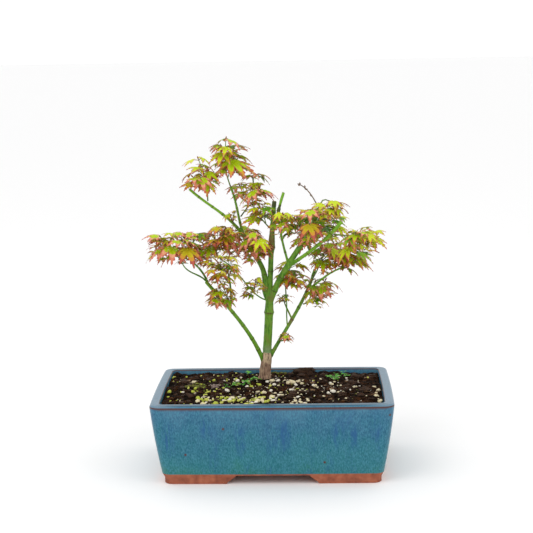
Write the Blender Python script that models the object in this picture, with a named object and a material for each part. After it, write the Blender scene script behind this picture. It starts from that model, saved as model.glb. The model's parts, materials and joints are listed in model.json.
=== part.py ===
"""Potted Japanese maple bonsai: a young green-stemmed tree in a glazed rectangular pot.

The tree is a trunk with boughs, and sprays of leaves that grow from them by one rule.
Metres, +Z up. The origin is the middle of the pot's footprint, on the surface it stands on.
+X is to the right and +Y is to the back.
"""
import math
import random

import bmesh
import bpy
from mathutils import Matrix, Vector
from mathutils.bvhtree import BVHTree

MM = 0.001
CLEAR = 0.3 * MM                 # gap kept between neighbouring pieces
WELD = 0.0005 * MM               # points closer than this become one
FLAT_ANGLE = math.radians(0.5)   # faces that turn by less become one
SHARP_ANGLE = math.radians(40)   # edges that turn by more are shaded sharp

# --- pot ------------------------------------------------------------------
POT_LENGTH = 250 * MM            # outside, along X, at the rim
POT_DEPTH = 170 * MM             # outside, along Y, at the rim
POT_HEIGHT = 85 * MM
WALL_TAPER = 10.5 * MM           # how far each wall leans in from the rim to the tuck
WALL_BULGE = 0.8 * MM            # how far the walls swell half way down
SIDE_BOW = 1.2 * MM              # how far the walls bow out between their corners
CORNER_RADIUS = 10 * MM
INNER_CORNER = 5 * MM
END_WALL = 10 * MM               # wall thickness at the two short ends
SIDE_WALL = 11 * MM              # wall thickness at the two long sides
FOOT_HEIGHT = 9 * MM             # clear height under the pot's bottom
FOOT_LEG = 15 * MM               # thickness of the L-shaped corner feet
FOOT_TUCK = 2.5 * MM             # how far the foot steps in under the glazed wall
TUCK_TOP = 11 * MM               # the wall turns in between these two heights
GLAZE_LINE = 6 * MM              # and the clay is bare below the lower one
MID_WALL = 48 * MM
FRONT_ARCH = (94 * MM, 75 * MM)  # width of the gap between the feet, below and above
SIDE_ARCH = (58 * MM, 46 * MM)
ARCH_STEPS = 3                   # straight steps in the S of an arch's ends
FLOOR_THICKNESS = 8 * MM
DRAIN_RADIUS = 7 * MM
DRAIN_SPACING = 110 * MM

# --- soil -----------------------------------------------------------------
SOIL_EDGE = 80.5 * MM            # height of the soil at the pot's walls
SOIL_CROWN = 2.2 * MM            # how far it rises in the middle of the pot
SOIL_WAVES = 0.7 * MM
SOIL_CELLS = (14, 9)
SEAT_HEIGHT = 84.3 * MM          # the level spot under the trunk
SEAT_RADIUS = 10 * MM
SEAT_SKIRT = 16 * MM             # over which that spot passes into the soil round it

# --- tree -----------------------------------------------------------------
TRUNK_FOOT = Vector((-11 * MM, 37 * MM, 81 * MM))    # before it is cut level with the soil
LIMB_PITCH = 10.5 * MM           # length of the straight steps along a limb
LEAF_THICKNESS = 0.8 * MM        # at the middle of a blade, thinning to its edge
STALK_RADIUS = 0.45 * MM
LEAF_ROOM = 0.4 * MM             # air kept round a leaf while the tree grows

# angle from the midrib and share of the blade's length, for one half of a leaf
LOBES = {7: ((0, 1.0), (38, 0.92), (74, 0.70), (114, 0.38)),
         5: ((0, 1.0), (43, 0.84), (88, 0.54))}
SEVEN_LOBES = 17 * MM            # shorter blades have five lobes
NOTCH = 0.50                     # depth of the cuts between lobes, as a share of their length
CUP = 0.34                       # how far the lobe tips hang below the blade's middle

# how shoots and leaves are dealt out along a stem
STEM_RADII = (0.8 * MM, 0.45 * MM)
SHOOT_RADII = (0.6 * MM, 0.4 * MM)
SHOOT_TURN = 137                 # degrees round the stem from one side shoot to the next
SHOOT_SPACING = 0.16             # share of the stem between them
SHOOT_SWINGS = (0, 50, -50, 100, -100, 150, -150)    # turns tried, in degrees
SHOOT_SHRINKS = (1, 0.75, 0.55)  # lengths tried
SHOOT_REACH = 0.85               # a shoot's length, as a share of its space's half size
SHOOT_ROOM = 1.6 * MM            # radius kept free round a new shoot
PAIR_TURN = 90                   # each pair of leaves stands across the one below
LEAF_SPREAD = (50, 72)           # degrees between a stalk and its stem
LEAF_STALK = (0.30, 0.50)        # a stalk's length, as a share of its blade's
LEAF_SIZES = (0.85, 1.1)
TIP_LOSS = 0.25                  # how much smaller the youngest pair is
LEAF_DROOP = (20, 55)            # degrees that a blade hangs below the level
LEAF_ROLL = 24
LEAF_SWINGS = (0, 24, -24, 48, -48)
LEAF_SHRINKS = (1, 0.88, 0.76, 0.66)

# Each limb: parent, share along the parent's length, own length, three aims
# (heading, rise) in degrees at its foot, middle and tip, and its radii from foot to tip.
# Heading 0 points to the right, 90 to the back. Rise 90 points straight up.
LIMBS = {
    "trunk": (None, 0, 198, ((-30, 82), (-15, 87), (0, 84)), ()),
    "low_left_stem": ("trunk", 0.078, 123, ((-146, 71), (-149, 53), (-160, 51)),
                      (2.6, 2.2, 2.0, 1.9)),
    "low_right_stem": ("trunk", 0.086, 119, ((0, 66), (28, 55), (10, 75)),
                       (2.4, 2.0, 1.9, 1.7)),
    "left_bough": ("trunk", 0.444, 81, ((-50, 127), (147, 61), (116, 62)),
                   (3.1, 3.0, 2.6, 2.2)),
    "right_bough": ("trunk", 0.439, 124, ((-37, 67), (-3, 57), (52, 64)),
                    (3.6, 3.4, 3.1, 2.4, 2.0)),
    "left_twig": ("trunk", 0.455, 73, ((-135, 8), (-158, 52), (-183, 30)), (0.8, 0.7, 0.6)),
    "low_left_fork": ("low_left_stem", 0.965, 29, ((-179, 72), (-168, 57), (-152, 39)),
                      (1.2, 1.1, 0.9)),
    "low_left_spur": ("low_left_stem", 0.98, 35, ((-165, 64), (-151, 27), (-174, 65)),
                      (0.9, 0.8, 0.6)),
    "low_left_side_shoot": ("low_left_stem", 0.66, 50, ((-58, 72), (-109, 81), (-174, 68)),
                            (1.1, 1.0, 0.7)),
    "left_cut_shoot": ("left_bough", 0.96, 81, ((-171, 61), (-165, 38), (-163, 45)),
                       (1.9, 1.6, 1.5, 1.5)),
    "left_top_shoot": ("left_bough", 0.96, 57, ((148, 67), (169, 79), (204, 67)),
                       (1.6, 1.5, 1.3, 1.3)),
    "right_arm": ("right_bough", 0.365, 89, ((-24, 35), (-38, 35), (-19, 51)),
                  (2.1, 1.9, 1.8, 1.7)),
    "inner_shoot": ("right_bough", 0.395, 61, ((-105, 68), (-193, 79), (-238, 81)),
                    (1.4, 1.3, 1.3, 1.5)),
    "inner_shoot_tip": ("inner_shoot", 0.96, 22, ((8, 74), (-7, 74), (-26, 68)), (1.3, 1.6, 1.6)),
    "dead_twig": ("right_bough", 0.95, 36, ((-146, 64), (-146, 49), (-148, 17)), (0.7, 0.6, 0.5)),
    "low_right_arm": ("low_right_stem", 0.79, 51, ((-23, 36), (-28, 36), (-31, 18)),
                      (1.3, 1.2, 1.1)),
    "low_right_twig": ("low_right_stem", 0.41, 38, ((-139, 81), (-83, 78), (-125, 78)),
                       (0.8, 0.7, 0.6)),
    "low_right_stub": ("low_right_stem", 0.49, 17, ((-148, 64), (-148, 64), (-148, 64)),
                       (1.0, 0.9)),
}
# The trunk's radius at heights along it, all in mm: root flare, woody foot, green stem
# with a ring where it was once cut back, three-way fork, and the leader.
TRUNK_PROFILE = ((0, 8.4), (4, 7.5), (9, 6.7), (18, 6.2), (29, 6.4), (33, 5.4), (38, 4.7),
                 (73, 4.6), (77, 5.1), (81, 4.7), (89, 4.3), (97, 3.5), (109, 3.0), (127, 2.9),
                 (141, 2.8), (148, 3.8), (157, 3.3), (164, 2.7), (198, 2.3))

# Each spray of leaves: the limb that carries it and the share along it, the middle and
# half size of the space it fills (mm), where in that space its stem ends (shares of the
# half size), leaf pairs on the stem, side shoots, length of its largest blade (mm), seed.
SPRAYS = {
    "crown_top": ("left_top_shoot", 1, (-37, 46, 319), (27, 26, 25), (-.4, 0, .98), 5, 1, 24, 57),
    "crown_left": ("left_cut_shoot", .70, (-72, 34, 304), (24, 26, 22), (-.2, 0, .9), 4, 2, 19, 39),
    "crown_middle": ("left_top_shoot", .40, (-22, 50, 287), (30, 25, 18), (.1, .1, .9), 4, 2, 20, 60),
    "bough_tuft": ("left_cut_shoot", .24, (-45, 41, 258), (8, 9, 9), (0, 0, .5), 1, 0, 9, 55),
    "far_left": ("low_left_spur", 1, (-100, -12, 230), (28, 26, 19), (-.5, 0, .9), 5, 2, 23, 47),
    "left_tips": ("low_left_fork", 1, (-78, 12, 226), (21, 20, 20), (-.2, .2, .7), 3, 1, 18, 2),
    "left_middle": ("left_twig", 1, (-56, 22, 229), (31, 26, 24), (-.1, .1, .9), 4, 3, 22, 24),
    "left_front": ("low_left_side_shoot", .62, (-52, -12, 209), (21, 20, 18), (-.1, -.4, .6),
                   3, 1, 20, 25),
    "centre_left": ("left_bough", .70, (-18, 16, 227), (18, 21, 21), (.1, -.3, .8), 3, 1, 21, 10),
    "left_back": ("left_bough", .80, (-40, 66, 226), (27, 18, 22), (-.2, .3, .8), 4, 2, 21, 27),
    "leader_left": ("trunk", .85, (-14, 42, 261), (19, 21, 18), (-.4, .2, .7), 3, 1, 18, 7),
    "leader_right": ("inner_shoot", .62, (11, 3, 258), (14, 14, 14), (.1, -.2, .7), 2, 1, 17, 56),
    "right_front": ("right_arm", .42, (43, -14, 254), (17, 21, 22), (.0, -.3, .9), 3, 1, 27, 42),
    "right_back": ("right_bough", .66, (27, 46, 237), (22, 22, 25), (-.2, .3, .8), 4, 2, 20, 31),
    "right_crest": ("right_bough", 1, (62, 24, 261), (20, 21, 17), (.3, -.1, .8), 4, 1, 18, 15),
    "right_middle": ("low_right_stem", .90, (58, 18, 221), (20, 24, 24), (.1, -.2, .7), 3, 2, 20, 37),
    "right_rear": ("right_bough", .84, (54, 66, 238), (26, 18, 25), (.1, .4, .8), 4, 2, 21, 31),
    "far_right_top": ("right_arm", .80, (95, -6, 233), (27, 25, 19), (.5, .1, .8), 5, 2, 21, 43),
    "far_right_low": ("low_right_stem", 1, (83, 34, 209), (32, 26, 21), (.2, -.1, .8), 4, 3, 26, 46),
    "right_low": ("low_right_twig", 1, (22, 36, 192), (18, 21, 21), (-.1, .0, .8), 3, 1, 19, 33),
    "right_skirt": ("low_right_stem", .66, (51, 50, 174), (18, 19, 18), (.3, .1, .8), 3, 1, 19, 13),
    "low_right_tuft": ("low_right_stub", 1, (15, 40, 162), (12, 13, 13), (-.4, .6, .7), 2, 0, 12, 32),
    "foot_tuft": ("low_right_stem", .27, (14, 34, 127), (8, 10, 8), (.1, -.1, .6), 1, 0, 10, 2),
    "left_skirt": ("low_left_stem", .70, (-54, -2, 186), (17, 19, 22), (.1, -.4, .5), 3, 1, 18, 31),
    "twig_tuft": ("left_twig", .33, (-22, 14, 186), (15, 14, 12), (.3, -.1, .8), 2, 0, 13, 46),
}


# --- scene and materials ----------------------------------------------------
def clear_scene():
    for obj in list(bpy.data.objects):
        bpy.data.objects.remove(obj, do_unlink=True)


def collection(name):
    group = bpy.data.collections.new(name)
    bpy.context.scene.collection.children.link(group)
    return group


def material(name, colour, roughness):
    mat = bpy.data.materials.new(name)
    mat.use_nodes = True
    shader = mat.node_tree.nodes["Principled BSDF"]
    shader.inputs["Base Color"].default_value = (*colour, 1.0)
    shader.inputs["Roughness"].default_value = roughness
    shader.inputs["Metallic"].default_value = 0.0
    mat.diffuse_color = (*colour, 1.0)
    return mat


def mesh_object(name, mesh, group, mat=None):
    obj = bpy.data.objects.new(name, mesh)
    group.objects.link(obj)
    if mat:
        mesh.materials.clear()
        mesh.materials.append(mat)
    return obj


def round_off(obj):
    """Shades an object smooth, apart from its real edges."""
    obj.data.shade_smooth()
    obj.data.set_sharp_from_angle(angle=SHARP_ANGLE)


def bmesh_object(name, bm, group, mat=None):
    mesh = bpy.data.meshes.new(name)
    bm.to_mesh(mesh)
    bm.free()
    return mesh_object(name, mesh, group, mat)


# --- solids -------------------------------------------------------------------
def connected_pieces(bm):
    """The separate shells of a mesh, as lists of faces."""
    left = set(bm.faces)
    pieces = []
    while left:
        seed = left.pop()
        piece = [seed]
        queue = [seed]
        while queue:
            for edge in queue.pop().edges:
                for face in edge.link_faces:
                    if face in left:
                        left.remove(face)
                        piece.append(face)
                        queue.append(face)
        pieces.append(piece)
    return pieces


def tidy_solid(mesh):
    """Welds a Boolean's result and keeps its outer shell: scraps and sealed hollows go."""
    bm = bmesh.new()
    bm.from_mesh(mesh)
    bmesh.ops.remove_doubles(bm, verts=bm.verts, dist=WELD)
    pieces = sorted(connected_pieces(bm), key=lambda faces: -sum(f.calc_area() for f in faces))
    for piece in pieces[1:]:
        bmesh.ops.delete(bm, geom=piece, context="FACES")
    bmesh.ops.delete(bm, geom=[v for v in bm.verts if not v.link_faces], context="VERTS")
    bmesh.ops.dissolve_limit(bm, angle_limit=FLAT_ANGLE, verts=bm.verts, edges=bm.edges)
    bmesh.ops.triangulate(bm, faces=bm.faces)
    bmesh.ops.recalc_face_normals(bm, faces=bm.faces)
    bm.to_mesh(mesh)
    bm.free()
    mesh.update()


def bake_modifiers(obj):
    """Replaces an object's mesh by the shape its modifiers give, and removes them."""
    bpy.context.view_layer.update()
    evaluated = obj.evaluated_get(bpy.context.evaluated_depsgraph_get())
    shaped = bpy.data.meshes.new_from_object(evaluated)
    obj.modifiers.clear()
    old = obj.data
    obj.data = shaped
    bpy.data.meshes.remove(old)
    tidy_solid(shaped)


def boolean(obj, cutter, operation="DIFFERENCE"):
    """Cuts or joins with one object, or with all the objects of a collection."""
    mod = obj.modifiers.new("boolean", "BOOLEAN")
    mod.operation = operation
    mod.solver = "EXACT"
    if isinstance(cutter, bpy.types.Collection):
        mod.operand_type = "COLLECTION"
        mod.collection = cutter
    else:
        mod.object = cutter
    bake_modifiers(obj)


def tube(name, points, radii, group, detail=2):
    """A round tapering limb: a curve with a bevel and caps, made a welded mesh."""
    curve = bpy.data.curves.new(name, "CURVE")
    curve.dimensions = "3D"
    curve.bevel_depth = 1.0
    curve.bevel_resolution = detail
    curve.use_fill_caps = True
    spline = curve.splines.new("POLY")
    spline.points.add(len(points) - 1)
    for spot, point, radius in zip(spline.points, points, radii):
        spot.co = (*point, 1.0)
        spot.radius = radius
    guide = bpy.data.objects.new(name + "_guide", curve)
    group.objects.link(guide)
    bpy.context.view_layer.update()
    evaluated = guide.evaluated_get(bpy.context.evaluated_depsgraph_get())
    mesh = bpy.data.meshes.new_from_object(evaluated)
    bpy.data.objects.remove(guide)
    bpy.data.curves.remove(curve)
    mesh.name = name
    tidy_solid(mesh)
    return mesh_object(name, mesh, group)


# --- directions and paths ---------------------------------------------------------
def direction(heading, rise):
    turn, lift = math.radians(heading), math.radians(rise)
    return Vector((math.cos(lift) * math.cos(turn), math.cos(lift) * math.sin(turn), math.sin(lift)))


def smooth_step(share):
    """Eases from 0 to 1."""
    share = min(max(share, 0.0), 1.0)
    return share * share * (3 - 2 * share)


def along(values, share):
    """The value at a share along a row of evenly spaced numbers."""
    place = min(max(share, 0.0), 1.0) * (len(values) - 1)
    index = min(int(place), len(values) - 2)
    return values[index] + (values[index + 1] - values[index]) * (place - index)


def bent(start, middle, end, share):
    """The quadratic through three evenly spaced values."""
    return (start * (1 - share) * (1 - 2 * share) + middle * 4 * share * (1 - share)
            + end * share * (2 * share - 1))


class Limb:
    """The line and the thickness of one limb, worked out from its aims."""
    fine = 48

    def __init__(self, name, start, length, aims, radii):
        self.name = name
        self.length = length * MM
        self.radii = [radius * MM for radius in radii]
        (h0, r0), (h1, r1), (h2, r2) = aims
        point = Vector(start)
        self.line = [point.copy()]
        for step in range(self.fine):
            share = (step + 0.5) / self.fine
            aim = direction(bent(h0, h1, h2, share), bent(r0, r1, r2, share))
            point = point + aim * (self.length / self.fine)
            self.line.append(point.copy())

    def at(self, share):
        place = min(max(share, 0.0), 1.0) * self.fine
        index = min(int(place), self.fine - 1)
        return self.line[index].lerp(self.line[index + 1], place - index)

    def heading(self, share):
        return (self.at(share + 0.02) - self.at(share - 0.02)).normalized()

    def radius(self, share):
        return along(self.radii, share)

    def stations(self):
        count = max(3, round(self.length / LIMB_PITCH))
        return [step / count for step in range(count + 1)]

    def mesh(self, name, group, extra=0.0):
        stations = self.stations()
        points = [self.at(share) for share in stations]
        radii = [self.radius(share) + extra for share in stations]
        return tube(name, points, radii, group)


class Trunk(Limb):
    """The trunk follows its own profile, given by height above the soil."""

    def radius(self, share):
        height = share * self.length / MM
        for (low, wide), (high, narrow) in zip(TRUNK_PROFILE, TRUNK_PROFILE[1:]):
            if height <= high:
                return (wide + (narrow - wide) * (height - low) / (high - low)) * MM
        return TRUNK_PROFILE[-1][1] * MM

    def stations(self):
        return [height * MM / self.length for height, _ in TRUNK_PROFILE]


# --- how a spray grows --------------------------------------------------------------
def across(axis):
    """Two unit vectors at right angles to an axis, the first one level."""
    level = axis.cross(Vector((0, 0, 1)))
    if level.length < 0.05:
        level = Vector((1, 0, 0))
    level.normalize()
    return level, level.cross(axis).normalized()


def leaf_ring(size, lobes):
    """The outline of a blade from its first lobe tip round the notches to its last, cupped."""
    half = LOBES[lobes]
    tips = [(-angle, reach) for angle, reach in reversed(half[1:])] + list(half)
    ring = []
    for (angle, reach), following in zip(tips, tips[1:] + [None]):
        ring.append((angle, reach))
        if following:
            ring.append(((angle + following[0]) / 2, NOTCH * (reach + following[1]) / 2))
    outline = []
    for angle, reach in ring:
        turn = math.radians(angle)
        outline.append(Vector((reach * math.cos(turn), reach * math.sin(turn),
                               -CUP * reach ** 2)) * size)
    return outline


def stalk_ring(stalk, extra=0.0):
    """The stalk's three corners where it joins a blade, in the blade's own axes.

    They lie square to the bend between the stalk and the midrib, so that neither
    cuts into the other however far the blade hangs.
    """
    forward = (Vector((1, 0, 0)) - stalk.normalized()).normalized()
    level = Vector((0, 1, 0))
    level = (level - forward * level.dot(forward)).normalized()
    radius = STALK_RADIUS + extra
    low = forward.cross(level) * -0.4 * radius
    return [low - level * radius, forward.cross(level) * radius, low + level * radius]


def leaf_solid(frame, size, lobes, root, extra=0.0):
    """Points and triangles of a leaf: a thin blade drawn out into a stalk that ends at root."""
    ring = [frame @ point for point in leaf_ring(size + 2 * extra, lobes)]
    heel = [frame @ point for point in stalk_ring(frame.inverted() @ root, extra)]
    foot = [point - frame.translation + root for point in heel]
    half = LEAF_THICKNESS / 2 + extra
    heart = 0.14 * size
    points = ring + [frame @ Vector((heart, 0, half)), frame @ Vector((heart, 0, -half))]
    count = len(ring)
    upper, lower = count, count + 1
    right, top, left = count + 2, count + 3, count + 4
    points += heel + foot
    rim = [right] + list(range(count)) + [left]
    faces = [(upper, left, top), (upper, top, right), (lower, right, left)]
    for one, following in zip(rim, rim[1:]):
        faces.append((upper, one, following))
        faces.append((lower, following, one))
    for one, following in ((right, top), (top, left), (left, right)):
        faces.append((one, following, following + 3))
        faces.append((one, following + 3, one + 3))
    faces.append((right + 3, top + 3, left + 3))
    return points, faces


def cone_solid(start, end, wide, narrow):
    """Points and triangles of a three-sided stalk."""
    level, upright = across((end - start).normalized())
    points = []
    for centre, radius in ((start, wide), (end, narrow)):
        for corner in range(3):
            turn = math.tau * corner / 3
            points.append(centre + (level * math.cos(turn) + upright * math.sin(turn)) * radius)
    faces = [(0, 2, 1), (3, 4, 5)]
    for corner in range(3):
        after = (corner + 1) % 3
        faces.append((corner, after, after + 3))
        faces.append((corner, after + 3, corner + 3))
    return points, faces


class Room:
    """What already takes up space round the tree."""

    def __init__(self):
        self.taken = []

    def add(self, points, faces):
        middle = sum(points, Vector()) / len(points)
        reach = max((point - middle).length for point in points)
        self.taken.append((middle, reach, BVHTree.FromPolygons(points, faces)))

    def free(self, points, faces):
        middle = sum(points, Vector()) / len(points)
        reach = max((point - middle).length for point in points)
        tree = BVHTree.FromPolygons(points, faces)
        for other, other_reach, other_tree in self.taken:
            if (other - middle).length < reach + other_reach and tree.overlap(other_tree):
                return False
        return True


class Spray:
    """One mass of leaves: a stem, its side shoots, and leaves in opposite pairs."""

    def __init__(self, name, limbs, plan):
        carrier, share, middle, reach, tip, pairs, shoots, blade, seed = plan
        self.name = name
        self.rng = random.Random(seed)
        self.middle = Vector(middle) * MM
        self.reach = Vector(reach) * MM
        self.pairs = pairs
        self.shoots = shoots
        self.blade = blade * MM
        self.stems = []
        self.leaves = []
        top = self.middle + Vector(r * t for r, t in zip(self.reach, tip))
        self.add_stem(*self.foot(limbs[carrier], share), top)

    def foot(self, limb, share):
        """Where the stem meets its limb, and the way it sets off."""
        axis = limb.at(share)
        ahead = limb.heading(share)
        if share >= 1:
            return axis + ahead * (CLEAR + 0.05 * MM), ahead
        out = self.middle - axis
        out = (out - ahead * out.dot(ahead)).normalized()
        aim = (out + ahead * 0.7).normalized()
        return axis + out * (limb.radius(share) + CLEAR + 0.5 * MM), aim

    def add_stem(self, start, aim, end, radii=STEM_RADII, steps=4):
        control = start + aim * (end - start).length * 0.45
        points = []
        for step in range(steps + 1):
            share = step / steps
            points.append(start.lerp(control, share).lerp(control.lerp(end, share), share))
        sizes = [along(radii, step / steps) for step in range(steps + 1)]
        self.stems.append((points, sizes))

    def inside(self, point, slack=1.0):
        offset = point - self.middle
        return sum(abs(offset[i] / (self.reach[i] * slack)) ** 4 for i in range(3)) <= 1.0

    def grow_shoots(self, room):
        """Side shoots set off from the lower half of the stem, where there is room."""
        for index in range(self.shoots):
            turn = self.rng.uniform(0, 360) + SHOOT_TURN * index
            spot, ahead = self.on_stem(0, self.entry(0) + SHOOT_SPACING * index)
            self.grow_shoot(room, spot, ahead, turn)

    def grow_shoot(self, room, spot, ahead, turn):
        level, upright = across(ahead)
        for shrink in SHOOT_SHRINKS:
            for swing in SHOOT_SWINGS:
                angle = math.radians(turn + swing)
                out = level * math.cos(angle) + upright * math.sin(angle)
                aim = (out + ahead * 0.8).normalized()
                run = aim * sum(self.reach) / 3 * SHOOT_REACH + Vector((0, 0, 0.1 * self.reach.z))
                end = spot + run * shrink
                solid = cone_solid(spot + aim * 2 * MM, end, SHOOT_ROOM, SHOOT_ROOM)
                if self.inside(end, 0.95) and room.free(*solid):
                    self.add_stem(spot, aim, end, SHOOT_RADII, 2)
                    return

    def entry(self, which):
        """The share along a stem where it is well inside the spray's space."""
        shares = [step / 20 for step in range(4, 15)]
        return next((s for s in shares if self.inside(self.on_stem(which, s)[0], 0.9)), shares[-1])

    def on_stem(self, which, share):
        points = self.stems[which][0]
        place = min(max(share, 0.0), 1.0) * (len(points) - 1)
        index = min(int(place), len(points) - 2)
        ahead = (points[index + 1] - points[index]).normalized()
        return points[index].lerp(points[index + 1], place - index), ahead

    def grow_leaves(self, room):
        for which in range(len(self.stems)):
            pairs = self.pairs if which == 0 else 2
            first = self.entry(which)
            turn = self.rng.uniform(0, 180)
            for pair in range(pairs):
                share = first + (0.97 - first) * (pair + 1) / pairs
                youth = pair / max(pairs - 1, 1)
                for side in (0, 180):
                    self.grow_leaf(room, which, share, turn + PAIR_TURN * pair + side, youth)

    def grow_leaf(self, room, which, share, turn, youth):
        """Tries one leaf at a node, turned and shrunk a little until it fits, or skips it."""
        spread = self.rng.uniform(*LEAF_SPREAD)
        stalk = self.rng.uniform(*LEAF_STALK)
        size = self.blade * (1 - TIP_LOSS * youth) * self.rng.uniform(*LEAF_SIZES)
        droop = self.rng.uniform(*LEAF_DROOP)
        roll = self.rng.uniform(-LEAF_ROLL, LEAF_ROLL)
        spot, ahead = self.on_stem(which, share)
        level, upright = across(ahead)
        for swing in LEAF_SWINGS:
            angle = math.radians(turn + swing)
            out = level * math.cos(angle) + upright * math.sin(angle)
            aim = (out * math.sin(math.radians(spread))
                   + ahead * math.cos(math.radians(spread))).normalized()
            for shrink in LEAF_SHRINKS:
                blade = size * shrink
                base = spot + aim * blade * stalk
                frame = self.blade_frame(base, aim, droop, roll)
                lobes = 7 if blade > SEVEN_LOBES else 5
                if self.fits(room, spot, aim, base, frame, blade, lobes):
                    return

    def blade_frame(self, base, aim, droop, roll):
        """The blade's own axes: along its midrib, across it, and out of its upper face."""
        flat = Vector((aim.x, aim.y, 0))
        flat.normalize()
        sink = math.radians(droop)
        midrib = (flat * math.cos(sink) - Vector((0, 0, math.sin(sink)))).normalized()
        side = Vector((0, 0, 1)).cross(flat).normalized()
        side = Matrix.Rotation(math.radians(roll), 3, midrib) @ side
        up = midrib.cross(side)
        return Matrix.Translation(base) @ Matrix((midrib, side, up)).transposed().to_4x4()

    def fits(self, room, spot, aim, base, frame, blade, lobes):
        tips = [frame @ point for point in leaf_ring(blade, lobes)]
        if not all(self.inside(tip) for tip in tips):
            return False
        thick = STALK_RADIUS + LEAF_ROOM
        stalk = cone_solid(spot + aim * 3 * MM, base, thick, thick)
        short = base - aim * 1 * MM
        roomy = leaf_solid(frame, blade, lobes, short, LEAF_ROOM)
        if not (room.free(*stalk) and room.free(*roomy)):
            return False
        self.leaves.append((frame, blade, lobes, spot))
        room.add(*leaf_solid(frame, blade, lobes, spot))
        return True

    def build(self, group):
        """The spray's solid: its parts joined by one union."""
        parts = collection(self.name + "_parts")
        objects = []
        for index, (points, radii) in enumerate(self.stems):
            objects.append(tube(f"{self.name}_stem_{index}", points, radii, parts, 0))
        for index, leaf in enumerate(self.leaves):
            objects.append(solid_object(f"{self.name}_leaf_{index}", leaf_solid(*leaf), parts))
        spray = objects[0]
        parts.objects.unlink(spray)
        group.objects.link(spray)
        boolean(spray, parts, "UNION")
        for obj in objects[1:]:
            bpy.data.objects.remove(obj)
        bpy.data.collections.remove(parts)
        spray.name = self.name
        spray.data.name = self.name
        spray.data.materials.clear()
        spray.data.materials.append(material(self.name + "_leaves", (0.33, 0.40, 0.03), 0.55))
        return spray


def solid_object(name, solid, group):
    points, faces = solid
    mesh = bpy.data.meshes.new(name)
    mesh.from_pydata([tuple(point) for point in points], [], faces)
    bm = bmesh.new()
    bm.from_mesh(mesh)
    bmesh.ops.recalc_face_normals(bm, faces=bm.faces)
    bm.to_mesh(mesh)
    bm.free()
    return mesh_object(name, mesh, group)


# --- the limbs ---------------------------------------------------------------------------
def lay_out_limbs():
    limbs = {}
    for name, (parent, share, length, aims, radii) in LIMBS.items():
        if parent is None:
            limbs[name] = Trunk(name, TRUNK_FOOT, length, aims, radii)
        else:
            limbs[name] = Limb(name, limbs[parent].at(share), length, aims, radii)
    return limbs


def build_limbs(limbs, group):
    """Each limb is cut clear of those made before it, so it seats on its parent."""
    bark = (0.12, 0.27, 0.06)
    built = {}
    for name, limb in limbs.items():
        obj = limb.mesh(name, group)
        for earlier in built:
            if not meets(obj, built[earlier]):
                continue
            cutter = limbs[earlier].mesh(name + "_cutter", group, CLEAR)
            boolean(obj, cutter)
            bpy.data.objects.remove(cutter)
        obj.data.materials.clear()
        obj.data.materials.append(material(name + "_bark", bark, 0.6))
        built[name] = obj
    cut_level(built["trunk"], SEAT_HEIGHT + CLEAR)
    for obj in built.values():
        round_off(obj)
    return built


def surface(obj):
    points = [obj.matrix_world @ vertex.co for vertex in obj.data.vertices]
    faces = [tuple(polygon.vertices) for polygon in obj.data.polygons]
    return points, faces


def meets(obj, other):
    trees = [BVHTree.FromPolygons(*surface(each)) for each in (obj, other)]
    return bool(trees[0].overlap(trees[1]))


def cut_level(obj, height):
    """Cuts a limb flat at the soil and closes the cut."""
    bm = bmesh.new()
    bm.from_mesh(obj.data)
    bmesh.ops.bisect_plane(bm, geom=bm.verts[:] + bm.edges[:] + bm.faces[:],
                           plane_co=(0, 0, height), plane_no=(0, 0, 1), clear_inner=True)
    bmesh.ops.holes_fill(bm, edges=[edge for edge in bm.edges if edge.is_boundary])
    bm.to_mesh(obj.data)
    bm.free()
    tidy_solid(obj.data)


# --- the pot -------------------------------------------------------------------------------
def outline_at(height):
    """Half length and half depth of the pot's outside at a height."""
    down = min(max((POT_HEIGHT - height) / (POT_HEIGHT - TUCK_TOP), 0.0), 1.0)
    tuck = min(max((TUCK_TOP - height) / (TUCK_TOP - GLAZE_LINE), 0.0), 1.0)
    inset = WALL_TAPER * down - WALL_BULGE * 4 * down * (1 - down) + FOOT_TUCK * tuck
    return POT_LENGTH / 2 - inset, POT_DEPTH / 2 - inset


def pot_block(low, high, corner, cuts, wall=(0.0, 0.0)):
    """A block with rounded upright corners that follows the pot's walls at every height."""
    half_x, half_y = POT_LENGTH / 2, POT_DEPTH / 2
    bm = bmesh.new()
    bmesh.ops.create_cube(bm, size=2.0)
    bmesh.ops.scale(bm, vec=(half_x, half_y, (high - low) / 2), verts=bm.verts)
    bmesh.ops.translate(bm, vec=(0, 0, (high + low) / 2), verts=bm.verts)
    upright = [edge for edge in bm.edges
               if abs(edge.verts[0].co.z - edge.verts[1].co.z) > (high - low) / 2]
    bmesh.ops.bevel(bm, geom=upright, offset=corner, segments=3, profile=0.5, affect="EDGES")
    for height in cuts:
        slice_block(bm, (0, 0, height), (0, 0, 1))
    for normal in ((1, 0, 0), (0, 1, 0)):
        slice_block(bm, (0, 0, 0), normal)
    for vertex in bm.verts:
        reach_x, reach_y = outline_at(vertex.co.z)
        across_x, across_y = vertex.co.x / half_x, vertex.co.y / half_y
        bow_x = SIDE_BOW * (1 - across_y ** 2) - SIDE_BOW
        bow_y = SIDE_BOW * (1 - across_x ** 2) - SIDE_BOW
        vertex.co.x = across_x * (reach_x - wall[0] + bow_x)
        vertex.co.y = across_y * (reach_y - wall[1] + bow_y)
    return bm


def slice_block(bm, spot, normal):
    bmesh.ops.bisect_plane(bm, geom=bm.verts[:] + bm.edges[:] + bm.faces[:],
                           plane_co=spot, plane_no=normal)


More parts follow.
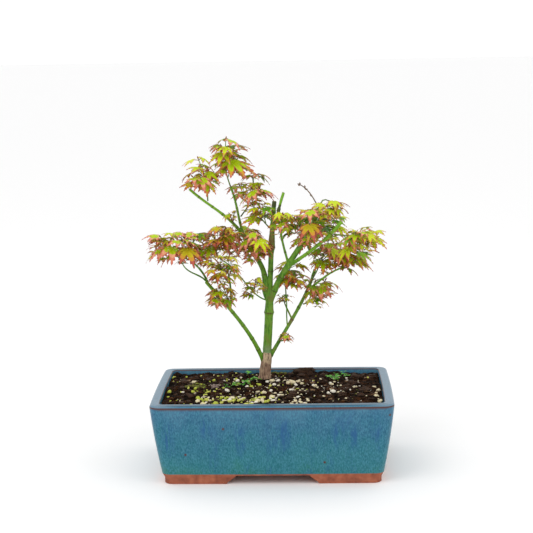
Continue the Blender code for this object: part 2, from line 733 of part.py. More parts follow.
def arch_cutter(name, widths, length, heading, group):
    """The gap between two feet: wide at the bottom, with S-shaped ends."""
    bm = bmesh.new()
    bmesh.ops.create_cube(bm, size=2.0)
    bmesh.ops.scale(bm, vec=(1, length / 2, FOOT_HEIGHT), verts=bm.verts)
    for step in range(ARCH_STEPS):
        slice_block(bm, (0, 0, FOOT_HEIGHT * step / ARCH_STEPS), (0, 0, 1))
    for vertex in bm.verts:
        ease = smooth_step(vertex.co.z / FOOT_HEIGHT)
        vertex.co.x *= (widths[0] + (widths[1] - widths[0]) * ease) / 2
    bmesh.ops.rotate(bm, verts=bm.verts, matrix=Matrix.Rotation(heading, 3, "Z"))
    return as_cutter(bmesh_object(name, bm, group))


def as_cutter(obj):
    obj.hide_render = True
    obj.display_type = "WIRE"
    return obj


def build_pot(group, cutters):
    cuts = (GLAZE_LINE, TUCK_TOP, MID_WALL)
    body = pot_block(0.0, POT_HEIGHT, CORNER_RADIUS, cuts)
    glaze = material("teal_glaze", (0.045, 0.21, 0.25), 0.25)
    pot = bmesh_object("pot", body, group, glaze)
    tidy_solid(pot.data)
    floor = FOOT_HEIGHT + FLOOR_THICKNESS
    hollow = pot_block(floor, POT_HEIGHT + 5 * MM, INNER_CORNER, (MID_WALL, SOIL_EDGE, POT_HEIGHT),
                       (END_WALL, SIDE_WALL))
    tools = [as_cutter(bmesh_object("hollow_cutter", hollow, cutters))]
    tools.append(arch_cutter("front_arch_cutter", FRONT_ARCH, 2 * POT_DEPTH, 0.0, cutters))
    tools.append(arch_cutter("side_arch_cutter", SIDE_ARCH, 2 * POT_LENGTH, math.pi / 2, cutters))
    tools.append(recess_cutter(cutters))
    for side in (-1, 1):
        tools.append(drain_cutter(side, cutters))
    for tool in tools:
        boolean(pot, tool)
    round_off(pot)


def recess_cutter(group):
    """The hollow under the pot's bottom, which leaves L-shaped feet at the corners."""
    foot_x, foot_y = outline_at(0.0)
    bm = bmesh.new()
    bmesh.ops.create_cube(bm, size=2.0)
    size = (foot_x - FOOT_LEG, foot_y - FOOT_LEG, FOOT_HEIGHT)
    bmesh.ops.scale(bm, vec=size, verts=bm.verts)
    return as_cutter(bmesh_object("recess_cutter", bm, group))


def drain_cutter(side, group):
    bm = bmesh.new()
    bmesh.ops.create_cone(bm, cap_ends=True, segments=16, radius1=DRAIN_RADIUS,
                          radius2=DRAIN_RADIUS, depth=4 * FLOOR_THICKNESS)
    spot = (side * DRAIN_SPACING / 2, 0, FOOT_HEIGHT + FLOOR_THICKNESS / 2)
    bmesh.ops.translate(bm, vec=spot, verts=bm.verts)
    return as_cutter(bmesh_object("drain_cutter", bm, group))


# --- the soil --------------------------------------------------------------------------------
def soil_height(x, y):
    """The soil's surface: low at the walls, heaped a little round the trunk."""
    half_x, half_y = outline_at(SOIL_EDGE)
    dome = max(0.0, 1 - (x / half_x) ** 2) * max(0.0, 1 - (y / half_y) ** 2)
    waves = (math.sin(x * 105 + 1.0) * math.cos(y * 90) + math.sin(x * 60 - y * 130 + 2.0)) / 2
    ground = SOIL_EDGE + SOIL_CROWN * dome + SOIL_WAVES * waves
    gap = math.hypot(x - TRUNK_FOOT.x, y - TRUNK_FOOT.y)
    return SEAT_HEIGHT + (ground - SEAT_HEIGHT) * smooth_step((gap - SEAT_RADIUS) / SEAT_SKIRT)


def build_soil(group):
    floor = FOOT_HEIGHT + FLOOR_THICKNESS + CLEAR
    room = 1.5 * CLEAR
    bm = pot_block(floor, SOIL_EDGE, INNER_CORNER, (MID_WALL,),
                   (END_WALL + room, SIDE_WALL + room))
    half_x, half_y = POT_LENGTH / 2, POT_DEPTH / 2
    for cells, axis, half in ((SOIL_CELLS[0], 0, half_x), (SOIL_CELLS[1], 1, half_y)):
        for cell in range(1, cells):
            normal = [0, 0, 0]
            normal[axis] = 1
            spot = [0, 0, 0]
            spot[axis] = half * (2 * cell / cells - 1)
            top = [face for face in bm.faces if face.normal.z > 0.9]
            edges = list({edge for face in top for edge in face.edges})
            verts = list({vertex for face in top for vertex in face.verts})
            bmesh.ops.bisect_plane(bm, geom=verts + edges + top, plane_co=spot, plane_no=normal)
            bm.normal_update()
    for vertex in bm.verts:
        if vertex.co.z > SOIL_EDGE - 0.5 * MM:
            vertex.co.z = soil_height(vertex.co.x, vertex.co.y)
    soil = bmesh_object("soil", bm, group, material("peat_soil", (0.023, 0.012, 0.007), 0.95))
    tidy_solid(soil.data)
    round_off(soil)


# --- the whole plant ------------------------------------------------------------------------
def build_sprays(limbs, limb_objects, group):
    room = Room()
    for obj in limb_objects.values():
        room.add(*surface(obj))
    sprays = [Spray(name, limbs, plan) for name, plan in SPRAYS.items()]
    for spray in sprays:
        for points, _ in spray.stems:
            if not room.free(*cone_solid(points[1], points[-1], 1 * MM, 1 * MM)):
                print("stem close to a limb:", spray.name)
    for spray in sprays:
        add_stems(room, spray.stems)
    for spray in sprays:
        spray.grow_shoots(room)
        add_stems(room, spray.stems[1:])
    for spray in sprays:
        spray.grow_leaves(room)
        obj = spray.build(group)
        print(spray.name, len(spray.leaves), "leaves,", len(obj.data.polygons), "faces")


def add_stems(room, stems):
    for points, radii in stems:
        for start, end, wide, narrow in zip(points, points[1:], radii, radii[1:]):
            room.add(*cone_solid(start, end, wide, narrow))


def main():
    clear_scene()
    plant = collection("maple_bonsai")
    cutters = collection("cutters")
    build_pot(plant, cutters)
    build_soil(plant)
    limbs = lay_out_limbs()
    limb_objects = build_limbs(limbs, plant)
    build_sprays(limbs, limb_objects, plant)


main()
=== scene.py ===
# %% [markdown]
# # A potted Japanese maple
# This lesson dresses a young bonsai maple in a glazed rectangular pot. The solids of the
# tree and the pot are already there as a fixed frame. Each step below replaces some of
# them with a finer shape and a finish made of shader nodes, and never moves the frame.

# %% Load the frame
import json
import math
import random

import bmesh
import bpy
import numpy as np
from mathutils import Matrix, Vector, noise
from mathutils.bvhtree import BVHTree
from mathutils.kdtree import KDTree

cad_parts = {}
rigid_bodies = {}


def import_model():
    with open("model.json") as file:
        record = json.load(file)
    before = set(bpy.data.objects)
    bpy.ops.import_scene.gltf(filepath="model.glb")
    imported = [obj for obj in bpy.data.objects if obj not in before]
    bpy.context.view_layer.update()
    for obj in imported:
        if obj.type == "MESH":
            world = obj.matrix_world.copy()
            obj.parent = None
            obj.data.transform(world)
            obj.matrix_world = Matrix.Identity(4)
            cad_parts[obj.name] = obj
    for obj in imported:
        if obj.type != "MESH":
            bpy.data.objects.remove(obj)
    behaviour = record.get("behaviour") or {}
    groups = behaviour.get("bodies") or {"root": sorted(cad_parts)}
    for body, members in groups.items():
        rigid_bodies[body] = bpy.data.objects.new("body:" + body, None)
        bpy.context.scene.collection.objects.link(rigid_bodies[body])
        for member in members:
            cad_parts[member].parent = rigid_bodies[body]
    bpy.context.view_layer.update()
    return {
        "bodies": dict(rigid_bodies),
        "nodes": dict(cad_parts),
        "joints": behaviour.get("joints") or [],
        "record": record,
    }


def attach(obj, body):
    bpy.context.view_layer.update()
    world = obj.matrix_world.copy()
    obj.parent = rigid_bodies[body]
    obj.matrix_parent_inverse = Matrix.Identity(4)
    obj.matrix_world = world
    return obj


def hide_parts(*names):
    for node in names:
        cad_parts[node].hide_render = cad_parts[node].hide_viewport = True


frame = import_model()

MM = 0.001
UP = Vector((0, 0, 1))
nodes = frame["nodes"]

# %% [markdown]
# Colours are easiest to choose as hex values, the way a colour picker shows them. Blender's
# shaders want linear light, so one function turns the one into the other. Another small
# function adds a shader node, sets it, fills or links its inputs and hands back an output
# to link onwards, and every material below is built with it.

# %% Colours and shader nodes
def linear(hex_colour):
    """A hex colour such as 3F7F8F as linear red, green and blue, and full alpha."""
    channels = [int(hex_colour[place:place + 2], 16) / 255 for place in (0, 2, 4)]
    bent = [c / 12.92 if c <= 0.04045 else ((c + 0.055) / 1.055) ** 2.4 for c in channels]
    return (*bent, 1.0)


def fill(material, node, inputs):
    """Gives each input of a node a value, or links it to a socket."""
    for place, value in dict(inputs).items():
        if isinstance(value, bpy.types.NodeSocket):
            material.node_tree.links.new(value, node.inputs[place])
        else:
            node.inputs[place].default_value = value


def add_node(material, kind, inputs=(), stops=(), output=0, **settings):
    """Adds a shader node with its settings and links, and hands back one of its outputs."""
    node = material.node_tree.nodes.new("ShaderNode" + kind)
    for name, value in settings.items():
        setattr(node, name, value)
    fill(material, node, inputs)
    for index, (place, colour) in enumerate(stops):
        points = node.color_ramp.elements
        point = points[index] if index < 2 else points.new(place)
        point.position, point.color = place, linear(colour)
    return node.outputs[output]


def new_material(name, colour, roughness):
    """A material, its Principled shader, and a socket that says where on the object it is."""
    material = bpy.data.materials.new(name)
    material.use_nodes = True
    shader = material.node_tree.nodes["Principled BSDF"]
    shader.inputs["Base Color"].default_value = linear(colour)
    shader.inputs["Roughness"].default_value = roughness
    material.diffuse_color = linear(colour)
    return material, shader, add_node(material, "TexCoord", output="Object")


print("linear teal:", [round(c, 3) for c in linear("3F7F8F")])

# %% [markdown]
# The camera comes first, because it decides which details show. A long lens, a metre and a
# half away and a little higher than the tree, sees the pot's front wall almost flat on. It
# is tilted down by nine degrees, so the soil shows over the rim. Its axes are worked out
# from a turn, a tilt and a small roll, as on a tripod head.

# %% Camera
FRAME_SIZE = 533  # pixels a side
FOCAL_PIXELS = 1365.8  # focal length, counted in those pixels
SENSOR = 36.0  # mm
CAMERA_PLACE = Vector((0.045, -1.411, 0.441))
CAMERA_TURN = math.radians(2.04)
CAMERA_TILT = math.radians(9.17)
CAMERA_ROLL = math.radians(-0.99)

right = Vector((math.cos(CAMERA_TURN), math.sin(CAMERA_TURN), 0))
level = Vector((-math.sin(CAMERA_TURN), math.cos(CAMERA_TURN), 0))
ahead = level * math.cos(CAMERA_TILT) - UP * math.sin(CAMERA_TILT)
above = level * math.sin(CAMERA_TILT) + UP * math.cos(CAMERA_TILT)
axes = Matrix((right, above, -ahead)).transposed() @ Matrix.Rotation(CAMERA_ROLL, 3, "Z")
lens = bpy.data.cameras.new("tripod_camera")
lens.sensor_width = SENSOR
lens.lens = FOCAL_PIXELS / FRAME_SIZE * SENSOR
camera = bpy.data.objects.new("tripod_camera", lens)
camera.matrix_world = Matrix.Translation(CAMERA_PLACE) @ axes.to_4x4()
bpy.context.scene.collection.objects.link(camera)
bpy.context.scene.camera = camera
print("lens in mm:", round(lens.lens, 1))

# %% [markdown]
# A white studio is kind to small plants, because leaves stay bright from below as well. The sky is
# plain white, a broad lamp from above and the left gives the limbs a lit side, and a weaker one fills
# the right. The floor is a wide pale plane.

# %% Studio
SKY_LIGHT = 1.02
LAMP_AIM = Vector((0, 0, 0.15))  # the middle of the tree
LAMPS = (  # name, place, size in metres and power in watts
    ("key_lamp", (-0.9, -1.0, 1.5), 1.1, 7.0),
    ("fill_lamp", (1.2, -0.9, 0.9), 0.9, 2.0),
)

scene = bpy.context.scene
scene.view_settings.view_transform = "Standard"
scene.world = bpy.data.worlds.new("white_studio")
scene.world.use_nodes = True
sky = scene.world.node_tree.nodes["Background"]
sky.inputs["Color"].default_value = (1, 1, 1, 1)
sky.inputs["Strength"].default_value = SKY_LIGHT
for name, place, size, power in LAMPS:
    bulb = bpy.data.lights.new(name, "AREA")
    bulb.size = size
    bulb.energy = power
    lamp = bpy.data.objects.new(name, bulb)
    lamp.location = place
    lamp.rotation_euler = (LAMP_AIM - lamp.location).to_track_quat("-Z", "Y").to_euler()
    scene.collection.objects.link(lamp)
bpy.ops.object.select_all(action="DESELECT")
bpy.ops.mesh.primitive_plane_add(size=80)
floor = bpy.context.object
floor.name = "studio_floor"
paper, *_ = new_material("studio_paper_matt", "FAFAFA", 0.9)
floor.data.materials.append(paper)
print("lamps:", [name for name, *_ in LAMPS])

# %% [markdown]
# Modelling by hand means picking some points, edges or faces and then doing something to
# them. These helpers do the picking in code, by place or by direction. Everything is
# deselected first, because the tools act on all that is selected. The last ones measure a
# piece, paint numbers on it, finish it, and join many small shapes into one mesh.

# %% Helpers for edit mode
def only(obj):
    """Makes one object the selected and the active one."""
    if bpy.context.mode != "OBJECT":
        bpy.ops.object.mode_set(mode="OBJECT")
    bpy.ops.object.select_all(action="DESELECT")
    obj.select_set(True)
    bpy.context.view_layer.objects.active = obj


def new_cube(place=(0, 0, 0), size=(1, 1, 1)):
    """A cube at its place and size. A new primitive is selected, so the rest is deselected."""
    bpy.ops.object.select_all(action="DESELECT")
    bpy.ops.mesh.primitive_cube_add(size=1, location=place, scale=size)
    bpy.ops.object.transform_apply(location=True, rotation=False, scale=True)
    return bpy.context.object


def pick(obj, kind, test):
    """Enters edit mode and selects the points, edges or faces that pass a test."""
    if bpy.context.mode != "EDIT_MESH":
        only(obj)
        bpy.ops.object.mode_set(mode="EDIT")
    bpy.ops.mesh.select_mode(type=kind)
    bpy.ops.mesh.select_all(action="DESELECT")
    mesh = bmesh.from_edit_mesh(obj.data)
    mesh.normal_update()
    count = 0
    for item in {"VERT": mesh.verts, "EDGE": mesh.edges, "FACE": mesh.faces}[kind]:
        if test(item):
            item.select_set(True)
            count += 1
    mesh.select_flush_mode()
    bmesh.update_edit_mesh(obj.data)
    return count


def slice_at(obj, spot, normal):
    """Cuts new edges all round an object where a plane meets it."""
    pick(obj, "FACE", lambda face: True)
    bpy.ops.mesh.bisect(plane_co=spot, plane_no=normal)


def round_off(radius, segments, clamp=False):
    """Rounds the picked edges."""
    bpy.ops.mesh.bevel(offset=radius, offset_type="OFFSET", segments=segments, profile=0.5,
                       affect="EDGES", clamp_overlap=clamp)


def apply_modifier(obj, kind, **settings):
    """Adds a modifier, sets it and applies it."""
    only(obj)
    modifier = obj.modifiers.new(kind.lower(), kind)
    for name, value in settings.items():
        setattr(modifier, name, value)
    bpy.ops.object.modifier_apply(modifier=modifier.name)


def cut_away(obj, cutter):
    """Cuts one object out of another with a Boolean, and throws the cutter away."""
    apply_modifier(obj, "BOOLEAN", operation="DIFFERENCE", solver="EXACT", object=cutter)
    bpy.data.objects.remove(cutter)


def measure(obj):
    """Prints a piece's size and how many faces it has."""
    corners = np.array([corner[:] for corner in obj.bound_box]) / MM
    size = [round(float(side), 1) for side in corners.max(0) - corners.min(0)]
    print(obj.name, "measures", size, "mm and has", len(obj.data.polygons), "faces")


def surface(obj):
    """The points and the faces of a mesh."""
    points = [vertex.co.copy() for vertex in obj.data.vertices]
    return points, [tuple(face.vertices) for face in obj.data.polygons]


def paint(obj, **layers):
    """Stores one number a point under each name, for shaders to read."""
    for name, values in layers.items():
        layer = obj.data.attributes.new(name, "FLOAT", "POINT")
        layer.data.foreach_set("value", values)


def finish_piece(piece, slot, *solids, smooth=True):
    """Smooths a finished piece, rides it on the body, hides the solids that it replaces and prints its
    size. The slot is not used.
    """
    if smooth:
        only(piece)
        bpy.ops.object.shade_smooth()
    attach(piece, "root")
    if solids:
        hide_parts(*solids)
    measure(piece)


def join_shapes(name, shapes, materials):
    """One object out of many shapes. Each is (points, faces, one slot or a slot per face)."""
    points, faces, slots, start = [], [], [], 0
    for some_points, some_faces, some_slots in shapes:
        points.append(np.asarray(some_points, dtype=float))
        faces += [tuple(start + corner for corner in face) for face in some_faces]
        slots += [some_slots] * len(some_faces) if isinstance(some_slots, int) else some_slots
        start += len(some_points)
    mesh = bpy.data.meshes.new(name)
    mesh.from_pydata(np.concatenate(points), [], faces)
    for material in materials:
        mesh.materials.append(material)
    mesh.polygons.foreach_set("material_index", slots)
    mesh.update()
    obj = bpy.data.objects.new(name, mesh)
    bpy.context.scene.collection.objects.link(obj)
    return obj

# %% [markdown]
# The pot is stoneware, pressed in a mould: a rectangular box whose walls lean in a little
# towards the foot, bow out between rounded corners, and stand on four feet. A block is
# beveled at its upright edges, sliced at several heights and scaled slice by slice, which
# gives the lean and the bow in a few steps. The slices stay clear of the places where feet
# are cut later, so that no tiny faces come about.

# %% The pot's outline
POT_LENGTH = 250 * MM  # outside, along X, at the rim
POT_DEPTH = 170 * MM  # outside, along Y, at the rim
POT_HEIGHT = 85 * MM
WALL_TAPER = 10.5 * MM  # how far each wall leans in from the rim to the tuck
WALL_BULGE = 0.8 * MM  # how far the walls swell half way down
SIDE_BOW = 1.2 * MM  # how far the walls bow out between their corners
CORNER_RADIUS = 10 * MM
FOOT_TUCK = 2.5 * MM  # how far the foot steps in under the glazed wall
TUCK_TOP = 11 * MM  # the wall turns in between these two heights
GLAZE_LINE = 6 * MM  # and the clay is bare below the lower one
WALL_LEVELS = (6, 11, 22, 36, 48, 62, 75)  # mm
PLAN_LINES = ((-95, -62, -25, 0, 25, 62, 95), (-58, -40, -12, 0, 12, 40, 58))  # mm, in X and Y


def outline_at(height):
    """Half length and half depth of the pot's outside at a height."""
    down = min(max((POT_HEIGHT - height) / (POT_HEIGHT - TUCK_TOP), 0.0), 1.0)
    tuck = min(max((TUCK_TOP - height) / (TUCK_TOP - GLAZE_LINE), 0.0), 1.0)
    inset = WALL_TAPER * down - WALL_BULGE * 4 * down * (1 - down) + FOOT_TUCK * tuck
    return POT_LENGTH / 2 - inset, POT_DEPTH / 2 - inset


print("half the pot's foot in mm:", [round(side / MM, 1) for side in outline_at(0.0)])

# %% [markdown]
# Outside and hollow have the same lean and bow, so one helper models both. The block is cut
# into a grid of slices first. Each line of the grid is then drawn in towards the corners,
# and each level is scaled to the outline at its height.

# %% A block that follows the walls
def near(one, other):
    """Whether two places are the same to a hundredth of a millimetre."""
    return abs(one - other) < 0.01 * MM


def walled_block(name, low, high, corner, levels, wall=(0.0, 0.0)):
    """A block with rounded upright corners that follows the pot's walls at every height."""
    block = new_cube((0, 0, (low + high) / 2), (POT_LENGTH, POT_DEPTH, high - low))
    block.name = block.data.name = name
    pick(block, "EDGE", lambda edge: not near(edge.verts[0].co.z, edge.verts[1].co.z))
    round_off(corner, 6)
    for height in levels:
        slice_at(block, (0, 0, height * MM), (0, 0, 1))
    for normal, lines in zip(((1, 0, 0), (0, 1, 0)), PLAN_LINES):
        for line in lines:
            slice_at(block, Vector(normal) * line * MM, normal)
    bow_walls(block)
    for height in (low, *(level * MM for level in levels), high):
        reach_x, reach_y = outline_at(height)
        pick(block, "VERT", lambda vertex: near(vertex.co.z, height))
        bpy.ops.transform.resize(value=((reach_x - wall[0]) / POT_LENGTH * 2,
                                        (reach_y - wall[1]) / POT_DEPTH * 2, 1),
                                 center_override=(0, 0, height))
    bpy.ops.object.mode_set(mode="OBJECT")
    return block


def bow_walls(block):
    """Draws the walls in towards their corners, line by line, so that they bow out between."""
    for axis, half in ((0, POT_LENGTH / 2), (1, POT_DEPTH / 2)):
        places = {round(abs(vertex.co[axis]) / MM, 3) for vertex in
                  bmesh.from_edit_mesh(block.data).verts}
        for place in sorted(places):
            draw = 1 - SIDE_BOW * (place * MM / half) ** 2 / (POT_DEPTH, POT_LENGTH)[axis] * 2
            pick(block, "VERT", lambda vertex: near(abs(vertex.co[axis]), place * MM))
            bpy.ops.transform.resize(value=(1, draw, 1) if axis == 0 else (draw, 1, 1),
                                     center_override=(0, 0, 0))


pot = walled_block("glazed_pot", 0.0, POT_HEIGHT, CORNER_RADIUS, WALL_LEVELS)
measure(pot)

# %% [markdown]
# The hollow is a smaller block with the same lean, cut out with a Boolean. The rim's edges
# are then rounded, as a wet sponge does it before the firing: wide towards the wall, and
# tighter towards the soil.

# %% Hollow and rim
INNER_CORNER = 5 * MM
INNER_LEVELS = (22, 36, 48, 62, 75, 85)  # mm
END_WALL = 10 * MM  # wall thickness at the two short ends
SIDE_WALL = 11 * MM  # wall thickness at the two long sides
FOOT_HEIGHT = 9 * MM  # clear height under the pot's bottom
FLOOR_THICKNESS = 8 * MM
RIM_OUTSIDE = 3.0 * MM  # rounding of the rim towards the wall
RIM_INSIDE = 1.3 * MM  # and towards the soil
RIM_BAND = 6 * MM  # edges nearer to the outside than this are the outer ones

hollow = walled_block("hollow", FOOT_HEIGHT + FLOOR_THICKNESS, POT_HEIGHT + 5 * MM,
                      INNER_CORNER, INNER_LEVELS, (END_WALL, SIDE_WALL))
cut_away(pot, hollow)


def rim_edge(edge, outer):
    """An edge along the rim, on its outer or its inner side."""
    middle = (edge.verts[0].co + edge.verts[1].co) / 2
    inset = min(POT_LENGTH / 2 - abs(middle.x), POT_DEPTH / 2 - abs(middle.y))
    upright = any(abs(face.normal.z) < 0.5 for face in edge.link_faces)
    level = all(near(vertex.co.z, POT_HEIGHT) for vertex in edge.verts)
    return level and upright and (inset < RIM_BAND) == outer


for outer, rounding, segments in ((True, RIM_OUTSIDE, 5), (False, RIM_INSIDE, 4)):
    count = pick(pot, "EDGE", lambda edge: rim_edge(edge, outer))
    round_off(rounding, segments, clamp=True)
    print("rounded", count, "edges", "outside" if outer else "inside", "the rim")
bpy.ops.object.mode_set(mode="OBJECT")

# %% [markdown]
# The feet come about by cutting four arches with S-shaped ends and a recess under the floor,
# so that L-shaped corners are left to stand on. Two drain holes pass through the floor. The
# cut edges are softened last, and points that fell together are merged.

# %% Arches, recess and drain holes
FOOT_LEG = 15 * MM  # thickness of the L-shaped corner feet
FRONT_ARCH = (94 * MM, 75 * MM)  # width of the gap between the feet, below and above
SIDE_ARCH = (58 * MM, 46 * MM)
ARCH_STEPS = 5
ARCH_REACH = 4 * MM  # how far a cutter reaches past the wall that it cuts
RECESS_LIP = 1.5 * MM  # how far the recess rises above the arches
DRAIN_RADIUS = 7 * MM
DRAIN_SPACING = 110 * MM


def smooth_step(share):
    """Eases from 0 to 1."""
    share = min(max(share, 0.0), 1.0)
    return share * share * (3 - 2 * share)


def arch_cutter(widths, reach, axis, side):
    """The gap between two feet: wide at the bottom, with S-shaped ends."""
    inner, outer = reach
    middle, length = side * (inner + outer) / 2, outer - inner
    place = (0, middle, 0) if axis == 1 else (middle, 0, 0)
    size = (1, length, 2 * FOOT_HEIGHT) if axis == 1 else (length, 1, 2 * FOOT_HEIGHT)
    cutter = new_cube(place, size)
    heights = [FOOT_HEIGHT * step / ARCH_STEPS for step in range(ARCH_STEPS + 1)]
    for height in heights[:-1]:
        slice_at(cutter, (0, 0, height), (0, 0, 1))
    for height in (-FOOT_HEIGHT, *heights):
        width = widths[0] + (widths[1] - widths[0]) * smooth_step(height / FOOT_HEIGHT)
        pick(cutter, "VERT", lambda vertex: near(vertex.co.z, height))
        bpy.ops.transform.resize(value=(width, 1, 1) if axis == 1 else (1, width, 1),
                                 center_override=(0, 0, height))
    bpy.ops.object.mode_set(mode="OBJECT")
    return cutter


foot_x, foot_y = outline_at(0.0)
cut_away(pot, new_cube(size=(
    2 * (foot_x - FOOT_LEG), 2 * (foot_y - FOOT_LEG), 2 * (FOOT_HEIGHT + RECESS_LIP))))
for side in (-1, 1):
    for axis, widths, foot, rim in ((1, FRONT_ARCH, foot_y, POT_DEPTH / 2),
                                    (0, SIDE_ARCH, foot_x, POT_LENGTH / 2)):
        reach = (foot - FOOT_LEG - ARCH_REACH, rim + ARCH_REACH)
        cut_away(pot, arch_cutter(widths, reach, axis, side))
for side in (-1, 1):
    bpy.ops.object.select_all(action="DESELECT")
    bpy.ops.mesh.primitive_cylinder_add(vertices=32, radius=DRAIN_RADIUS, depth=50 * MM, location=(
        side * DRAIN_SPACING / 2, 0, FOOT_HEIGHT + FLOOR_THICKNESS / 2))
    cut_away(pot, bpy.context.object)
print("the drained pot has", len(pot.data.polygons), "faces")

# %% Softened feet
FOOT_ROUNDING = 0.9 * MM
FOOT_SHARP = math.radians(50)  # edges that turn by more than this are rounded


def foot_edge(edge):
    """An edge between the feet or under them that is sharp enough to be rounded."""
    low = max(vertex.co.z for vertex in edge.verts) < FOOT_HEIGHT + 0.1 * MM
    return low and len(edge.link_faces) == 2 and edge.calc_face_angle() > FOOT_SHARP


foot_edges = pick(pot, "EDGE", foot_edge)
round_off(FOOT_ROUNDING, 2, clamp=True)
pick(pot, "VERT", lambda vertex: True)
bpy.ops.mesh.remove_doubles(threshold=0.01 * MM)
bpy.ops.mesh.normals_make_consistent(inside=False)
bpy.ops.object.mode_set(mode="OBJECT")
bpy.ops.object.shade_smooth_by_angle(angle=math.radians(35))
print("rounded", foot_edges, "edges at the feet")

# %% [markdown]
# The pot's finish is a stoneware glaze: a skin of glass half a millimetre thick that ran
# down the walls while it was liquid. That gives the eye a vertical drift from a milky
# steel blue at the rim to a green teal at the foot, fine runs and mottling, a few darker
# patches, pinholes burnt brown, and a soft gloss. Over sharp edges the glass thins and the
# brown clay shines through, so the rim's edges get an attribute that says how thin it is.
# Two more paint light on the rim's tops: a pale reflection at the ends, shade at the sides.

# %% Where the glaze is thin, and the rim's painted reflection and shade
THIN_SLOPES = ((10, 22), (45, 36))  # outside and inside: degrees from upright, and spread


def rim_marks(point, normal):
    """How thin the glaze is at a point of the pot, and its rim top's painted reflection and shade."""
    if point.z < POT_HEIGHT - RIM_OUTSIDE - 0.1 * MM:
        return 0.0, 0.0, 0.0
    x, y = abs(point.x), abs(point.y)
    outside = min(POT_LENGTH / 2 - x, POT_DEPTH / 2 - y) < RIM_BAND
    middle, spread = THIN_SLOPES[0] if outside else THIN_SLOPES[1]
    slope = math.degrees(math.asin(max(-1.0, min(normal.z, 1.0))))
    at_end = x > POT_LENGTH / 2 - END_WALL - 2 * MM
    # The rim's tops get painted light: a pale reflection at the short ends, shade along the long sides.
    return (max(0.0, 1 - abs(slope - middle) / spread), float(at_end and slope > 30),
            float(not at_end and slope > 60))


# Besides the thin glaze, two numbers of painted light on the rim's tops: reflection and shade.
thin, end_reflection, deep = zip(*(rim_marks(vertex.co, vertex.normal) for vertex in pot.data.vertices))
paint(pot, thin_glaze=thin, milky_glaze=end_reflection, deep_glaze=deep)
print("thin at", sum(share > 0.5 for share in thin), "points of the rim")

# %% [markdown]
# The glaze's own colour is a row of blues and greens set along the pot's height. Two noises
# push the height up and down, so that the colours sag like runs, and a third one, drawn
# into short upright strokes, gives the grain of the glass.

# %% The glaze's runs and grain
# Glass over clay: IOR near 1.5, set to 1.4 because the milky glass mirrors less of the sky,
# and smooth, but not sharp, because it ran and crawled.
glaze, shader, place = new_material("celadon_glaze_poured", "3F7F93", 0.3)
height = add_node(glaze, "SeparateXYZ", {"Vector": place}, output="Z")
tall = add_node(glaze, "Mapping", {"Vector": place, "Scale": (1, 1, 0.13)})
strokes = add_node(glaze, "Mapping", {"Vector": place, "Scale": (1, 1, 0.45)})
runs = add_node(glaze, "TexNoise", {
    "Vector": tall, "Scale": 1 / (2.6 * MM), "Detail": 3.0, "Roughness": 0.6})
drift = add_node(glaze, "TexNoise", {"Vector": place, "Scale": 1 / (24 * MM), "Detail": 2.0})
mottle = add_node(glaze, "TexNoise", {
    "Vector": strokes, "Scale": 1 / (1.3 * MM), "Detail": 2.0, "Roughness": 0.7})
sag = add_node(glaze, "Math", {0: runs, 1: 40 * MM, 2: height}, operation="MULTIPLY_ADD")
sag = add_node(glaze, "Math", {0: drift, 1: 52 * MM, 2: sag}, operation="MULTIPLY_ADD")
level = add_node(glaze, "MapRange", {"Value": sag, "From Min": 46 * MM, "From Max": 132 * MM})
colour = add_node(glaze, "ValToRGB", {"Fac": level}, stops=(
    (0.0, "196C5E"), (0.22, "11666E"), (0.5, "055C6E"), (0.75, "135473"), (1.0, "376581")))
grains = add_node(glaze, "MapRange", {
    "Value": mottle, "From Min": 0.36, "From Max": 0.66, "To Max": 0.5})
print("the glaze starts from", len(glaze.node_tree.nodes), "nodes")

# %% [markdown]
# Where the glass ran together it is thicker and bluer. The pools on the front have places
# of their own and the rest come from a noise, and all of them are broken up by the runs.

# %% Pools of blue
POOLS = (  # where the blue ran thicker on the front: x and height, half width and height, mm
    (-105, 50, 8, 26), (-32, 49, 7, 26), (13, 51, 8, 24), (65, 55, 7, 20), (83, 55, 6, 16),
    (-68, 62, 6, 14), (107, 50, 5, 18),
)
POOL_DEPTH = 16 * MM  # how deep a pool's spot reaches into the wall

long = add_node(glaze, "Mapping", {
    "Vector": place, "Scale": (1, 1, 0.3), "Location": (0.3, 0, 0)})
pools = add_node(glaze, "TexNoise", {"Vector": long, "Scale": 1 / (15 * MM), "Detail": 1.0})
pools = add_node(glaze, "MapRange", {
    "Value": pools, "From Min": 0.5, "From Max": 0.72, "To Max": 0.5})
for x, z, wide, high in POOLS:
    spot = add_node(glaze, "Mapping", {
        "Vector": place, "Location": (x * MM, -POT_DEPTH / 2 + 4 * MM, z * MM),
        "Scale": (wide * MM, POOL_DEPTH, high * MM)}, vector_type="TEXTURE")
    spot = add_node(glaze, "TexGradient", {"Vector": spot}, output="Fac",
                    gradient_type="SPHERICAL")
    pools = add_node(glaze, "Math", {0: spot, 1: pools})
drips = add_node(glaze, "MapRange", {"Value": runs, "From Min": 0.36, "From Max": 0.6})
pools = add_node(glaze, "Math", {0: pools, 1: drips}, operation="MULTIPLY")
pools = add_node(glaze, "MapRange", {
    "Value": pools, "From Min": 0.04, "From Max": 0.75, "To Max": 0.72})
print(len(POOLS), "pools on the front")

# %% [markdown]
# The rim's attributes come in here: a pale painted reflection on the tops of the short ends, specked
# with brown, and painted shade on the tops of the long sides. Pinholes are small brown spots, each a
# rod of colour through the pot from front to back. All the shares are then laid over the colour in
# turn, from the grain to the bare clay.

# %% Painted reflection and shade, bare edges and pinholes
PINHOLES = ((53, 24), (119, 74), (-49, 61), (-88, 33))  # x and height on the walls, mm
PINHOLE_REACH = 1.8 * MM  # where a pinhole's brown has faded out
